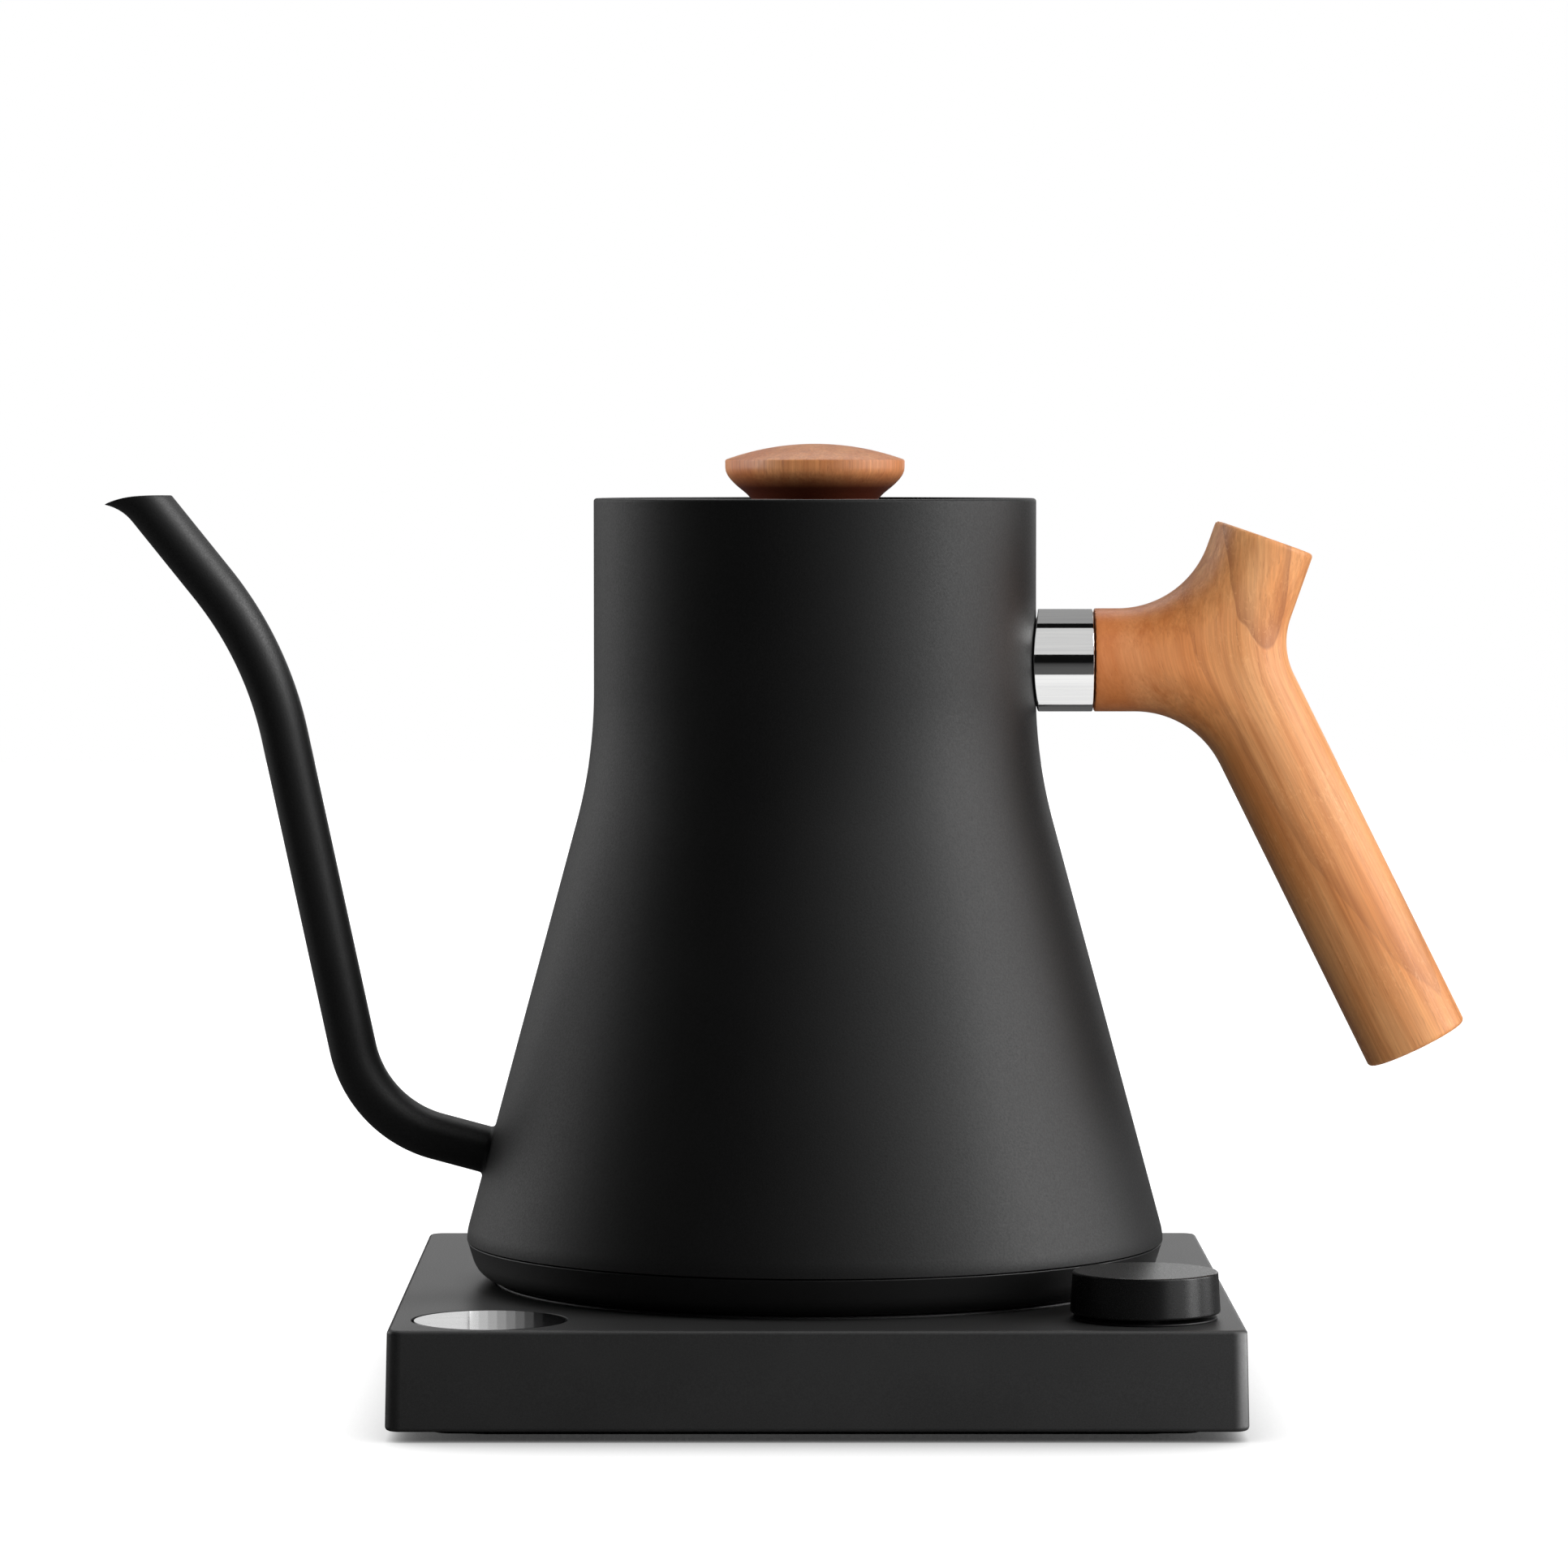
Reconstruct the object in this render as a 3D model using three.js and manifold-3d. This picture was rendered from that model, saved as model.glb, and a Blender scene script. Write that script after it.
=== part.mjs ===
// An electric gooseneck kettle standing on its square powered base.
// Millimetres, +Z up. The origin is on the kettle's axis, at the underside of the foot pad.
// +X points to the handle, -X to the spout and -Y to the dial and the display.
import * as THREE from "three";
import { mergeVertices } from "three/addons/utils/BufferGeometryUtils.js";
import Module from "manifold-3d";

const wasm = await Module();
wasm.setup();

// ---- Driving dimensions ----

// Base
const BASE_SIDE = 175.3;
const BASE_DRAFT = 0.45; // how far each side leans in from bottom to top
const BASE_BOTTOM = 2.2;
const BASE_TOP = 22.8;
const BASE_CORNER = 3;
const BASE_EDGE = 0.9;
const BASE_WALL = 2.6;
const BASE_CEILING = BASE_TOP - 2.5;
const PLINTH_SIDE = 158.7; // the dark step under the shell
const PLINTH_BOTTOM = 0.6;
const FOOT_SIDE = 150;
const BASE_SCREW_OFFSET = 80.5;
const DOCK_RADIUS = 68.5;
const DOCK_TOP = 23.2;
const PLUG_RADIUS = 19;
const PLUG_TOP = 33.5;
const BOARD_Z = 8;
const BOARD_THICKNESS = 1.6;
const POWER_BOARD = { low: [-50, 32], high: [50, 72] };
const CONTROL_BOARD = { low: [-75, -78], high: [75, -52] };

// On the rear face of the base
const REAR = BASE_SIDE / 2;
const GLAND_X = -45;
const GLAND_Z = 11.5;
const HOLD_X = 45;
const HOLD_Z = 12;

// Dial and display
const DIAL_X = 67.4;
const DIAL_Y = -67;
const DIAL_RADIUS = 15.45;
const DIAL_TOP_RADIUS = 14.92;
const DIAL_BOTTOM = 24.1;
const DIAL_TOP = 32.6;
const DISPLAY_X = -67;
const DISPLAY_Y = -69.3;
const LENS_RADIUS = 15.6;

// Vessel: an upright neck, a concave shoulder, a cone and a short upright hem at the seam
const RIM_RADIUS = 47.3;
const RIM_Z = 190.5;
const SHOULDER_Z = 149.3;
const SHOULDER_ARC = 107.1;
const CONE_ANGLE = THREE.MathUtils.degToRad(15.04);
const HEM_ARC = 12.3;
const SEAM_Z = 31.8;
const VESSEL_WALL = 1;
const FLOOR_TOP = 43;
const UNDERSIDE_Z = 23.45;
const UNDERSIDE_ARC = 6.1;
const UNDERSIDE_LEAN = THREE.MathUtils.degToRad(18);
const UNDERSIDE_SCREW_CIRCLE = 58;
const PROBE_Y = 58;

// Spout
const SPOUT_RADIUS = 5.05;
const SPOUT_BORE = 4.25;
const SPOUT_ROOT_Z = 50.6;
const SPOUT_REACH = 26.8; // from the cone to the corner of the lower bend
const SPOUT_RISER_ANGLE = THREE.MathUtils.degToRad(12.1);
const SPOUT_NECK_ANGLE = THREE.MathUtils.degToRad(38.7);
const SPOUT_UPPER_BEND_Z = 157.9;
const SPOUT_LOWER_BEND = 28.7;
const SPOUT_UPPER_BEND = 78;
const MOUTH_Z = 191.1;
const LIP_LENGTH = 7.2; // how far back from the tip the pouring lip starts to turn out

// Handle
const HANDLE_Z = 155.9;
const FERRULE_RADIUS = 11.05;
const FERRULE_END = 59.4;
const STUB_RADIUS = 11;
const GRIP_RADIUS = 11.35;
const STUB_END = new THREE.Vector2(96.2, 182.1);
const STUB_LEAN = THREE.MathUtils.degToRad(19.45);
const GRIP_END = new THREE.Vector2(129.2, 73.5);
const GRIP_LEAN = THREE.MathUtils.degToRad(26.36);
const HANDLE_BEND = 31.4;
const CROTCH_BEND = 26.6;

// Lid
const LID_RADIUS = 45.9;
const LID_TOP = 190;
const KNOB_RADIUS = 19.2;
const KNOB_TOP = 202.1;
const VENT_CIRCLE = 31;
const VENT_RADIUS = 1.6;

// Facets round a full turn
const ROUND = 48;
const MEDIUM = 24;
const SMALL = 16;
const TINY = 8;
const GAP = 0.3; // between pieces cut to fit each other
const FIT = 0.1; // between pieces that meet on plain faces

// ---- Materials ----

const FINISHES = {
  powder_coat: [0x232425, 0.62, 0.1],
  base_plastic: [0x2b2c2e, 0.6, 0],
  dark_plastic: [0x121314, 0.5, 0],
  rubber: [0x0e0e0f, 0.9, 0],
  steel: [0xb9bcc0, 0.22, 1],
  brushed_steel: [0xa5a8ab, 0.4, 1],
  aluminium: [0xc4c6c9, 0.45, 1],
  brass: [0xc19a4a, 0.35, 1],
  cherry_wood: [0xc88850, 0.5, 0],
  walnut_wood: [0x7a4630, 0.5, 0],
  silicone: [0x2a2b2d, 0.75, 0],
  glass: [0x08090a, 0.06, 0],
  circuit_board: [0x1d5b36, 0.6, 0],
  component: [0x17181a, 0.55, 0],
};

// ---- Solids from three.js geometry ----

const point = (x, y) => new THREE.Vector2(x, y);

function solidOf(geometry) {
  const bare = new THREE.BufferGeometry();
  bare.setAttribute("position", geometry.getAttribute("position"));
  bare.setIndex(geometry.index);
  const merged = mergeVertices(bare, 1e-4);
  const corners = [];
  for (let i = 0; i < merged.index.count; i += 3) {
    const [a, b, c] = merged.index.array.slice(i, i + 3);
    if (a !== b && b !== c && c !== a) corners.push(a, b, c);
  }
  const vertProperties = merged.getAttribute("position").array;
  const build = (list) =>
    new wasm.Manifold(
      new wasm.Mesh({ numProp: 3, vertProperties, triVerts: new Uint32Array(list) }),
    );
  const solid = build(corners);
  return solid.volume() > 0 ? solid : build(corners.reverse());
}

function geometryOf(solid) {
  const mesh = solid.getMesh();
  const positions = new Float32Array(mesh.numVert * 3);
  for (let i = 0; i < mesh.numVert; i++) {
    const start = i * mesh.numProp;
    positions.set(mesh.vertProperties.subarray(start, start + 3), i * 3);
  }
  const geometry = new THREE.BufferGeometry();
  geometry.setAttribute("position", new THREE.BufferAttribute(positions, 3));
  geometry.setIndex(new THREE.BufferAttribute(mesh.triVerts, 1));
  geometry.computeVertexNormals();
  return geometry;
}

// A solid turned about the Z axis from a profile of (radius, height) points.
function turned(profile, segments = ROUND) {
  const closed = profile[0].x === 0 ? profile : [...profile, profile[0]];
  return solidOf(new THREE.LatheGeometry(closed, segments).rotateX(Math.PI / 2));
}

function ring(inner, outer, bottom, top, segments = ROUND) {
  const low = [point(inner, bottom), point(outer, bottom)];
  const high = [point(outer, top), point(inner, top)];
  return turned([...low, ...high], segments);
}

function rod(radius, bottom, top, segments = SMALL) {
  const middle = (bottom + top) / 2;
  const geometry = new THREE.CylinderGeometry(radius, radius, top - bottom, segments);
  return solidOf(geometry.rotateX(Math.PI / 2).translate(0, 0, middle));
}

// A rod that lies along X, at height z on the XZ plane.
function rodAlongX(radius, start, end, z, segments = SMALL) {
  const geometry = new THREE.CylinderGeometry(radius, radius, end - start, segments);
  return solidOf(geometry.rotateZ(Math.PI / 2).translate((start + end) / 2, 0, z));
}

function block(low, high) {
  const size = high.map((value, axis) => value - low[axis]);
  const middle = high.map((value, axis) => (value + low[axis]) / 2);
  return solidOf(new THREE.BoxGeometry(...size).translate(...middle));
}

function roundedSquare(side, corner) {
  const inner = side / 2 - corner;
  const shape = new THREE.Shape();
  const quarter = Math.PI / 2;
  [[1, -1], [1, 1], [-1, 1], [-1, -1]].forEach(([x, y], turn) => {
    shape.absarc(x * inner, y * inner, corner, (turn - 1) * quarter, turn * quarter, false);
  });
  shape.closePath();
  return shape;
}

function slab(side, corner, bottom, top) {
  const options = { depth: top - bottom, bevelEnabled: false, curveSegments: 2 };
  const geometry = new THREE.ExtrudeGeometry(roundedSquare(side, corner), options);
  return solidOf(geometry.translate(0, 0, bottom));
}

// ---- Curves in the XZ plane ----

class Arc extends THREE.Curve {
  constructor(centre, radius, start, sweep) {
    super();
    Object.assign(this, { centre, radius, start, sweep });
  }
  getPoint(t, target = new THREE.Vector3()) {
    const angle = this.start + this.sweep * t;
    const x = this.centre.x + this.radius * Math.cos(angle);
    const z = this.centre.y + this.radius * Math.sin(angle);
    return target.set(x, 0, z);
  }
}

// Straight runs joined by round bends: corners[i] is rounded to radii[i].
function bentPath(start, corners, radii, end) {
  const path = new THREE.CurvePath();
  let from = start;
  corners.forEach((corner, i) => {
    const arriving = corner.clone().sub(from).normalize();
    const leaving = (corners[i + 1] ?? end).clone().sub(corner).normalize();
    const turn = Math.atan2(arriving.cross(leaving), arriving.dot(leaving));
    const setback = radii[i] * Math.tan(Math.abs(turn) / 2);
    const arcStart = corner.clone().addScaledVector(arriving, -setback);
    const side = Math.sign(turn);
    const inward = point(-arriving.y * side, arriving.x * side);
    const centre = arcStart.clone().addScaledVector(inward, radii[i]);
    path.add(new THREE.LineCurve3(inSpace(from), inSpace(arcStart)));
    path.add(new Arc(centre, radii[i], Math.atan2(-inward.y, -inward.x), turn));
    from = corner.clone().addScaledVector(leaving, setback);
  });
  path.add(new THREE.LineCurve3(inSpace(from), inSpace(end)));
  return path;
}

function inSpace(flat) {
  return new THREE.Vector3(flat.x, 0, flat.y);
}

function tube(path, radius, sides, steps) {
  const section = new THREE.Shape().absarc(0, 0, radius, 0, 2 * Math.PI, false);
  const options = { steps, curveSegments: sides / 2, extrudePath: path };
  return solidOf(new THREE.ExtrudeGeometry(section, options));
}

// ---- The vessel's outline ----

const coneTopRadius = RIM_RADIUS + SHOULDER_ARC * (1 - Math.cos(CONE_ANGLE));
const coneTopZ = SHOULDER_Z - SHOULDER_ARC * Math.sin(CONE_ANGLE);
const hemTopZ = SEAM_Z + HEM_ARC * Math.sin(CONE_ANGLE);
const hemCentre = coneRadius(hemTopZ) - HEM_ARC * Math.cos(CONE_ANGLE);
const seamRadius = hemCentre + HEM_ARC;

// Radius of the cone at a height, or of a line inset from it.
function coneRadius(z, inset = 0) {
  return coneTopRadius + (coneTopZ - z) * Math.tan(CONE_ANGLE) - inset / Math.cos(CONE_ANGLE);
}

// Down the vessel's outside, or down a line inset from it, from under the rim to the seam.
function vesselLine(inset, steps) {
  const line = [];
  const shoulder = SHOULDER_ARC + inset;
  for (let i = 0; i <= steps; i++) {
    const angle = (CONE_ANGLE * i) / steps;
    const radius = RIM_RADIUS + SHOULDER_ARC - shoulder * Math.cos(angle);
    line.push(point(radius, SHOULDER_Z - shoulder * Math.sin(angle)));
  }
  for (let i = 2; i >= 0; i--) {
    const angle = (CONE_ANGLE * i) / 2;
    const hem = HEM_ARC - inset;
    line.push(point(hemCentre + hem * Math.cos(angle), SEAM_Z + hem * Math.sin(angle)));
  }
  return line;
}

// Everything inside the vessel's outside, grown by a gap: it cuts what meets the wall.
function vesselEnvelope(gap) {
  const line = vesselLine(-gap, 4);
  return turned([point(0, RIM_Z), point(RIM_RADIUS + gap, RIM_Z), ...line, point(0, SEAM_Z)]);
}

// ---- Vessel pieces ----

function bodyShell() {
  const rim = 0.7;
  const bore = RIM_RADIUS - VESSEL_WALL;
  const edge = [point(RIM_RADIUS - rim, RIM_Z), point(RIM_RADIUS, RIM_Z - rim)];
  const outside = [...edge, ...vesselLine(0, 4)];
  const inside = vesselLine(VESSEL_WALL, 3).reverse();
  const wall = turned([point(bore, RIM_Z), ...outside, ...inside]);
  return wall.subtract(tube(spoutPath(-12), SPOUT_RADIUS + GAP, 12, 40));
}

function neckRing() {
  const outer = RIM_RADIUS - VESSEL_WALL - FIT;
  return ring(outer - 1.4, outer, 176, LID_TOP - 2);
}

function vesselFloor() {
  const skirt = 3.6;
  const inset = VESSEL_WALL + FIT;
  const thickness = 1;
  const dish = turned([
    point(0, FLOOR_TOP - thickness),
    point(coneRadius(FLOOR_TOP, inset) - thickness, FLOOR_TOP - thickness),
    point(coneRadius(FLOOR_TOP - skirt, inset) - thickness, FLOOR_TOP - skirt),
    point(coneRadius(FLOOR_TOP - skirt, inset), FLOOR_TOP - skirt),
    point(coneRadius(FLOOR_TOP, inset), FLOOR_TOP),
    point(0, FLOOR_TOP),
  ]);
  const places = undersideScrewPlaces().map(([x, y]) => [x, y, 0]);
  const bosses = places.map((place) => rod(3.2, 33, FLOOR_TOP - 0.5, TINY).translate(place));
  const threads = places.map((place) => rod(1.6, 32, 39.5, TINY).translate(place));
  const probeHole = rod(3, 30, 50, SMALL).translate([0, PROBE_Y, 0]);
  return subtractAll(addAll(dish, bosses), [...threads, probeHole]);
}

function addAll(solid, others) {
  return others.reduce((sum, other) => sum.add(other), solid);
}

function subtractAll(solid, others) {
  return others.reduce((rest, other) => rest.subtract(other), solid);
}


function undersideScrewPlaces() {
  return [30, 150, 270].map((degrees) => {
    const angle = THREE.MathUtils.degToRad(degrees);
    return [UNDERSIDE_SCREW_CIRCLE * Math.cos(angle), UNDERSIDE_SCREW_CIRCLE * Math.sin(angle)];
  });
}

// The underside runs in from the seam, then rounds to a flat that hovers over the dock.
function undersideLine(inset) {
  const arc = UNDERSIDE_ARC - inset;
  const centreZ = UNDERSIDE_Z + UNDERSIDE_ARC;
  const arcTopZ = centreZ - UNDERSIDE_ARC * Math.sin(UNDERSIDE_LEAN);
  const run = (SEAM_Z - FIT - arcTopZ) * Math.tan(UNDERSIDE_LEAN);
  const centre = seamRadius - run - UNDERSIDE_ARC * Math.cos(UNDERSIDE_LEAN);
  const line = [];
  for (let i = 0; i <= 3; i++) {
    const angle = -Math.PI / 2 + ((Math.PI / 2 - UNDERSIDE_LEAN) * i) / 3;
    line.push(point(centre + arc * Math.cos(angle), centreZ + arc * Math.sin(angle)));
  }
  return line;
}

function kettleBottomCover() {
  const wall = 2.2;
  const top = SEAM_Z - FIT;
  const hole = 24;
  const spigot = seamRadius - VESSEL_WALL - GAP;
  const cover = turned([
    point(hole, UNDERSIDE_Z),
    ...undersideLine(0),
    point(seamRadius, top),
    point(spigot, top),
    point(spigot - 0.3, top + 2.6),
    point(spigot - 1.8, top + 2.6),
    point(spigot - 1.8, top),
    ...undersideLine(wall).reverse(),
    point(hole, UNDERSIDE_Z + wall),
  ]);
  const holes = undersideScrewPlaces().flatMap(([x, y]) => [
    rod(1.8, 22, 28, TINY).translate([x, y, 0]),
    rod(3.2, 22, UNDERSIDE_Z + 1.2, TINY).translate([x, y, 0]),
  ]);
  return subtractAll(cover, holes);
}

function heatSpreader() {
  return rod(50, 38.7, FLOOR_TOP - 1 - FIT, 32);
}

// A horseshoe of tube with its two ends turned down to the terminals.
function heatingElement() {
  const radius = 41;
  const thickness = 3.2;
  const turn = new THREE.EllipseCurve(0, 0, radius, radius, -1.2, Math.PI + 1.2, false);
  const along = turn.getSpacedPoints(20).map((p) => new THREE.Vector3(p.x, p.y, 35.2));
  const path = new THREE.CatmullRomCurve3(along);
  const [first, last] = [along[0], along[20]];
  const terminals = [first, last].map(({ x, y }) => rod(1.3, 29.5, 35, TINY).translate([x, y, 0]));
  return addAll(tube(path, thickness, 6, 20), terminals);
}

function thermostat() {
  const can = rod(6.2, 32, 38.5, SMALL);
  const button = rod(2.5, 30, 32.5, TINY);
  return can.add(button);
}

function temperatureProbe() {
  return turned([
    point(0, 34),
    point(2, 34),
    point(2, 57),
    point(1.3, 58.6),
    point(0, 59.2),
  ], SMALL);
}

function probeSeal() {
  return turned([
    point(2.1, 40.3),
    point(4.4, 40.3),
    point(4.4, 41.8),
    point(2.9, 41.9),
    point(2.9, 43.1),
    point(4.4, 43.2),
    point(3.6, 44.6),
    point(2.1, 44.6),
  ], SMALL);
}

// A screw with its head at the bottom, turned about Z from z = 0 upwards.
function screw(headRadius, headHeight, shankRadius, length) {
  return turned([
    point(0, headHeight * 0.45),
    point(headRadius * 0.45, headHeight * 0.45),
    point(headRadius * 0.5, 0),
    point(headRadius * 0.85, 0),
    point(headRadius, headHeight * 0.35),
    point(headRadius, headHeight),
    point(shankRadius, headHeight),
    point(shankRadius, length - shankRadius),
    point(0, length),
  ], TINY);
}

// ---- Spout ----

// The spout's centreline, from a distance inside the wall (negative) to past the mouth.
function spoutPath(start) {
  const root = point(-coneRadius(SPOUT_ROOT_Z), SPOUT_ROOT_Z);
  const outward = point(-Math.cos(CONE_ANGLE), Math.sin(CONE_ANGLE));
  const lower = root.clone().addScaledVector(outward, SPOUT_REACH);
  const rise = SPOUT_UPPER_BEND_Z - lower.y;
  const upper = point(lower.x - rise * Math.tan(SPOUT_RISER_ANGLE), SPOUT_UPPER_BEND_Z);
  const neck = point(-Math.sin(SPOUT_NECK_ANGLE), Math.cos(SPOUT_NECK_ANGLE));
  const past = (MOUTH_Z - SPOUT_UPPER_BEND_Z) / neck.y + 9;
  const end = upper.clone().addScaledVector(neck, past);
  const from = root.clone().addScaledVector(outward, start);
  return bentPath(from, [lower, upper], [SPOUT_LOWER_BEND, SPOUT_UPPER_BEND], end);
}

// Turns the outer edge of the mouth out and over into a pouring lip.
function turnLip(geometry) {
  const along = point(-Math.sin(SPOUT_NECK_ANGLE), Math.cos(SPOUT_NECK_ANGLE));
  const across = point(-along.y, along.x);
  const path = spoutPath(0);
  const end = path.getPoint(1);
  const tipHeight = (MOUTH_Z - end.z - SPOUT_RADIUS * across.y) / along.y;
  const lipStart = tipHeight - LIP_LENGTH;
  const positions = geometry.getAttribute("position");
  for (let i = 0; i < positions.count; i++) {
    const fromEnd = point(positions.getX(i) - end.x, positions.getZ(i) - end.z);
    const reach = Math.max(0, fromEnd.dot(along) - lipStart);
    const outer = Math.min(1, Math.max(0, (fromEnd.dot(across) / SPOUT_RADIUS + 1) / 2));
    const bend = outer ** 2 * reach ** 2;
    const move = across.clone().multiplyScalar(0.047 * bend).addScaledVector(along, -0.0117 * bend);
    positions.setX(i, positions.getX(i) + move.x);
    positions.setZ(i, positions.getZ(i) + move.y);
  }
  return geometry;
}

function spoutTube() {
  const steps = 34;
  const outside = tube(spoutPath(-4), SPOUT_RADIUS, 12, steps);
  const bore = tube(spoutPath(-5), SPOUT_BORE, 10, steps);
  const above = block([-180, -20, MOUTH_Z], [-100, 20, MOUTH_Z + 40]);
  const pipe = outside.subtract(bore).subtract(vesselEnvelope(GAP)).subtract(above);
  return solidOf(turnLip(geometryOf(pipe)));
}

// ---- Handle ----

const stubUp = point(Math.sin(STUB_LEAN), Math.cos(STUB_LEAN));
const gripDown = point(Math.sin(GRIP_LEAN), -Math.cos(GRIP_LEAN));
const woodStart = FERRULE_END + GAP;

function axisAt(end, direction, z) {
  return end.clone().addScaledVector(direction, (z - end.y) / direction.y);
}

function handleFerrule() {
  const wall = rodAlongX(FERRULE_RADIUS, 40, FERRULE_END, HANDLE_Z, MEDIUM);
  const pocket = rodAlongX(9.4, 39, 51.6, HANDLE_Z, MEDIUM);
  const bore = rodAlongX(3.5, 39, FERRULE_END + 1, HANDLE_Z, SMALL);
  return subtractAll(wall, [pocket, bore, vesselEnvelope(GAP)]);
}

function handleBoss() {
  const disc = rodAlongX(9.1, 40, 51.2, HANDLE_Z, 20);
  const thread = rodAlongX(3.3, 39, 52, HANDLE_Z, SMALL);
  return subtractAll(disc, [thread, vesselEnvelope(GAP)]);
}

function handleStud() {
  return rodAlongX(3, RIM_RADIUS + 0.7, 80, HANDLE_Z, SMALL);
}

function handleInsert() {
  const sleeve = rodAlongX(4.8, 60.2, 79, HANDLE_Z, SMALL);
  return sleeve.subtract(rodAlongX(3.3, 59, 82, HANDLE_Z, SMALL));
}

// A branch in the shape of a Y on its side: a short arm to the vessel, a stub up and a long grip down.
function handleGrip() {
  const arm = point(woodStart, HANDLE_Z);
  const stubCorner = axisAt(STUB_END, stubUp, HANDLE_Z);
  const gripCorner = axisAt(GRIP_END, gripDown, HANDLE_Z);
  const crotchRise = (gripCorner.x - stubCorner.x) / (Math.tan(STUB_LEAN) + Math.tan(GRIP_LEAN));
  const crotch = axisAt(STUB_END, stubUp, HANDLE_Z + crotchRise);
  const sides = 12;
  const stubPath = bentPath(arm, [stubCorner], [HANDLE_BEND], STUB_END);
  const gripPath = bentPath(arm, [gripCorner], [HANDLE_BEND], GRIP_END);
  const spinePath = bentPath(STUB_END, [crotch], [CROTCH_BEND], GRIP_END);
  const toStub = tube(stubPath, STUB_RADIUS, sides, 10);
  const toGrip = tube(gripPath, GRIP_RADIUS, sides, 14);
  const spine = tube(spinePath, STUB_RADIUS, sides, 14);
  const knotX = 84;
  const ball = new THREE.SphereGeometry(GRIP_RADIUS, sides, 8);
  const knot = solidOf(ball.translate(knotX, 0, HANDLE_Z + 1));
  const pocket = rodAlongX(5.1, woodStart - 1, 81, HANDLE_Z, SMALL);
  const arms = addAll(toStub, [toGrip, spine, knot]);
  return subtractAll(arms, [pocket, block([40, -20, 130], [woodStart, 20, 180])]);
}

// ---- Lid ----


function vents(bottom, top) {
  return [30, 150, 270].map((degrees) => {
    const angle = THREE.MathUtils.degToRad(degrees);
    const place = [VENT_CIRCLE * Math.cos(angle), VENT_CIRCLE * Math.sin(angle), 0];
    return rod(VENT_RADIUS, bottom, top, TINY).translate(place);
  });
}

function lidDisc() {
  const disc = turned([
    point(2.3, LID_TOP - 1.7),
    point(LID_RADIUS, LID_TOP - 1.7),
    point(LID_RADIUS, LID_TOP - 0.5),
    point(LID_RADIUS - 0.5, LID_TOP),
    point(2.3, LID_TOP),
  ]);
  return subtractAll(disc, vents(LID_TOP - 5, LID_TOP + 5));
}

function lidSkirt() {
  const outer = 43.9;
  const wall = 1;
  const bottom = 177;
  const top = LID_TOP - 1.8;
  const cup = turned([
    point(0, bottom),
    point(outer, bottom),
    point(outer, 181),
    point(outer - 0.7, 181),
    point(outer - 0.7, 184),
    point(outer, 184),
    point(outer, top),
    point(outer - 2 * wall, top),
    point(outer - 2 * wall, bottom + wall),
    point(0, bottom + wall),
  ]);
  return subtractAll(cup, vents(bottom - 3, bottom + 3));
}

function lidSeal() {
  const groove = 43.3;
  const lip = 44.65;
  return turned([point(groove, 181.1), point(lip, 181.7), point(lip, 182.2), point(groove, 183.9)]);
}

// A domed wooden button on a coved neck, bored from below for its threaded insert.
function lidKnob() {
  const arrisZ = 198.8;
  const bandZ = 195.3;
  const coveZ = 191.8;
  const coveRadius = 15.1;
  const neckRadius = 13.6;
  const bore = 3.7;
  const boreTop = 199.2;
  const bottom = LID_TOP + FIT;
  const line = [point(0, boreTop), point(bore, boreTop), point(bore, bottom)];
  line.push(point(neckRadius, bottom), point(14.2, bottom + 0.8), point(coveRadius, coveZ));
  for (let i = 1; i <= 3; i++) {
    const angle = (Math.PI / 2) * (i / 3);
    const radius = coveRadius + (KNOB_RADIUS - coveRadius) * Math.sin(angle);
    line.push(point(radius, bandZ - (bandZ - coveZ) * Math.cos(angle)));
  }
  const domeHeight = KNOB_TOP - arrisZ;
  const domeArc = (KNOB_RADIUS ** 2 + domeHeight ** 2) / (2 * domeHeight);
  for (let i = 4; i >= 0; i--) {
    const radius = (KNOB_RADIUS * i) / 4;
    line.push(point(radius, KNOB_TOP - domeArc + Math.sqrt(domeArc ** 2 - radius ** 2)));
  }
  return turned(line, MEDIUM);
}

function lidInsert() {
  return ring(2.1, 3.5, LID_TOP + 0.4, 198.6, SMALL);
}

function lidScrew() {
  return screw(4, 2.2, 1.9, 13.2).translate([0, 0, 184.9]);
}

function lidWasher() {
  return ring(2.1, 6.5, 187.2, LID_TOP - 1.8, SMALL);
}

// ---- Power coupling in the middle of the base ----


function baseConnectorHousing() {
  return turned([
    point(0, 16),
    point(26, 16),
    point(26, BASE_CEILING - FIT),
    point(PLUG_RADIUS, BASE_CEILING - FIT),
    point(PLUG_RADIUS, PLUG_TOP - 0.6),
    point(PLUG_RADIUS - 0.6, PLUG_TOP),
    point(12.4, PLUG_TOP),
    point(12.4, 23),
    point(8, 23),
    point(8, PLUG_TOP),
    point(4.6, PLUG_TOP),
    point(4.6, 22),
    point(0, 22),
  ], MEDIUM);
}

function baseConnectorPin() {
  const radius = 2.2;
  const bottom = 22.1;
  const tip = [point(radius, 31.5), point(radius / 2, 32.6), point(0, 32.9)];
  return turned([point(0, bottom), point(radius, bottom), ...tip], SMALL);
}

function baseContactRing() {
  return ring(8.15, 9, 23.1, 32.5, MEDIUM);
}

function kettleConnectorHousing() {
  return turned([
    point(0, 34.5),
    point(19.9, 34.5),
    point(19.9, UNDERSIDE_Z + 0.8),
    point(23.3, UNDERSIDE_Z + 0.8),
    point(23.3, 37),
    point(0, 37),
  ], MEDIUM);
}

function kettleConnectorSocket() {
  return ring(2.7, 3.8, 24.5, 34.4, SMALL);
}

function kettleContactRing() {
  return ring(10.2, 11.2, 25, 34.4, MEDIUM);
}

// ---- Base pieces ----


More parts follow.
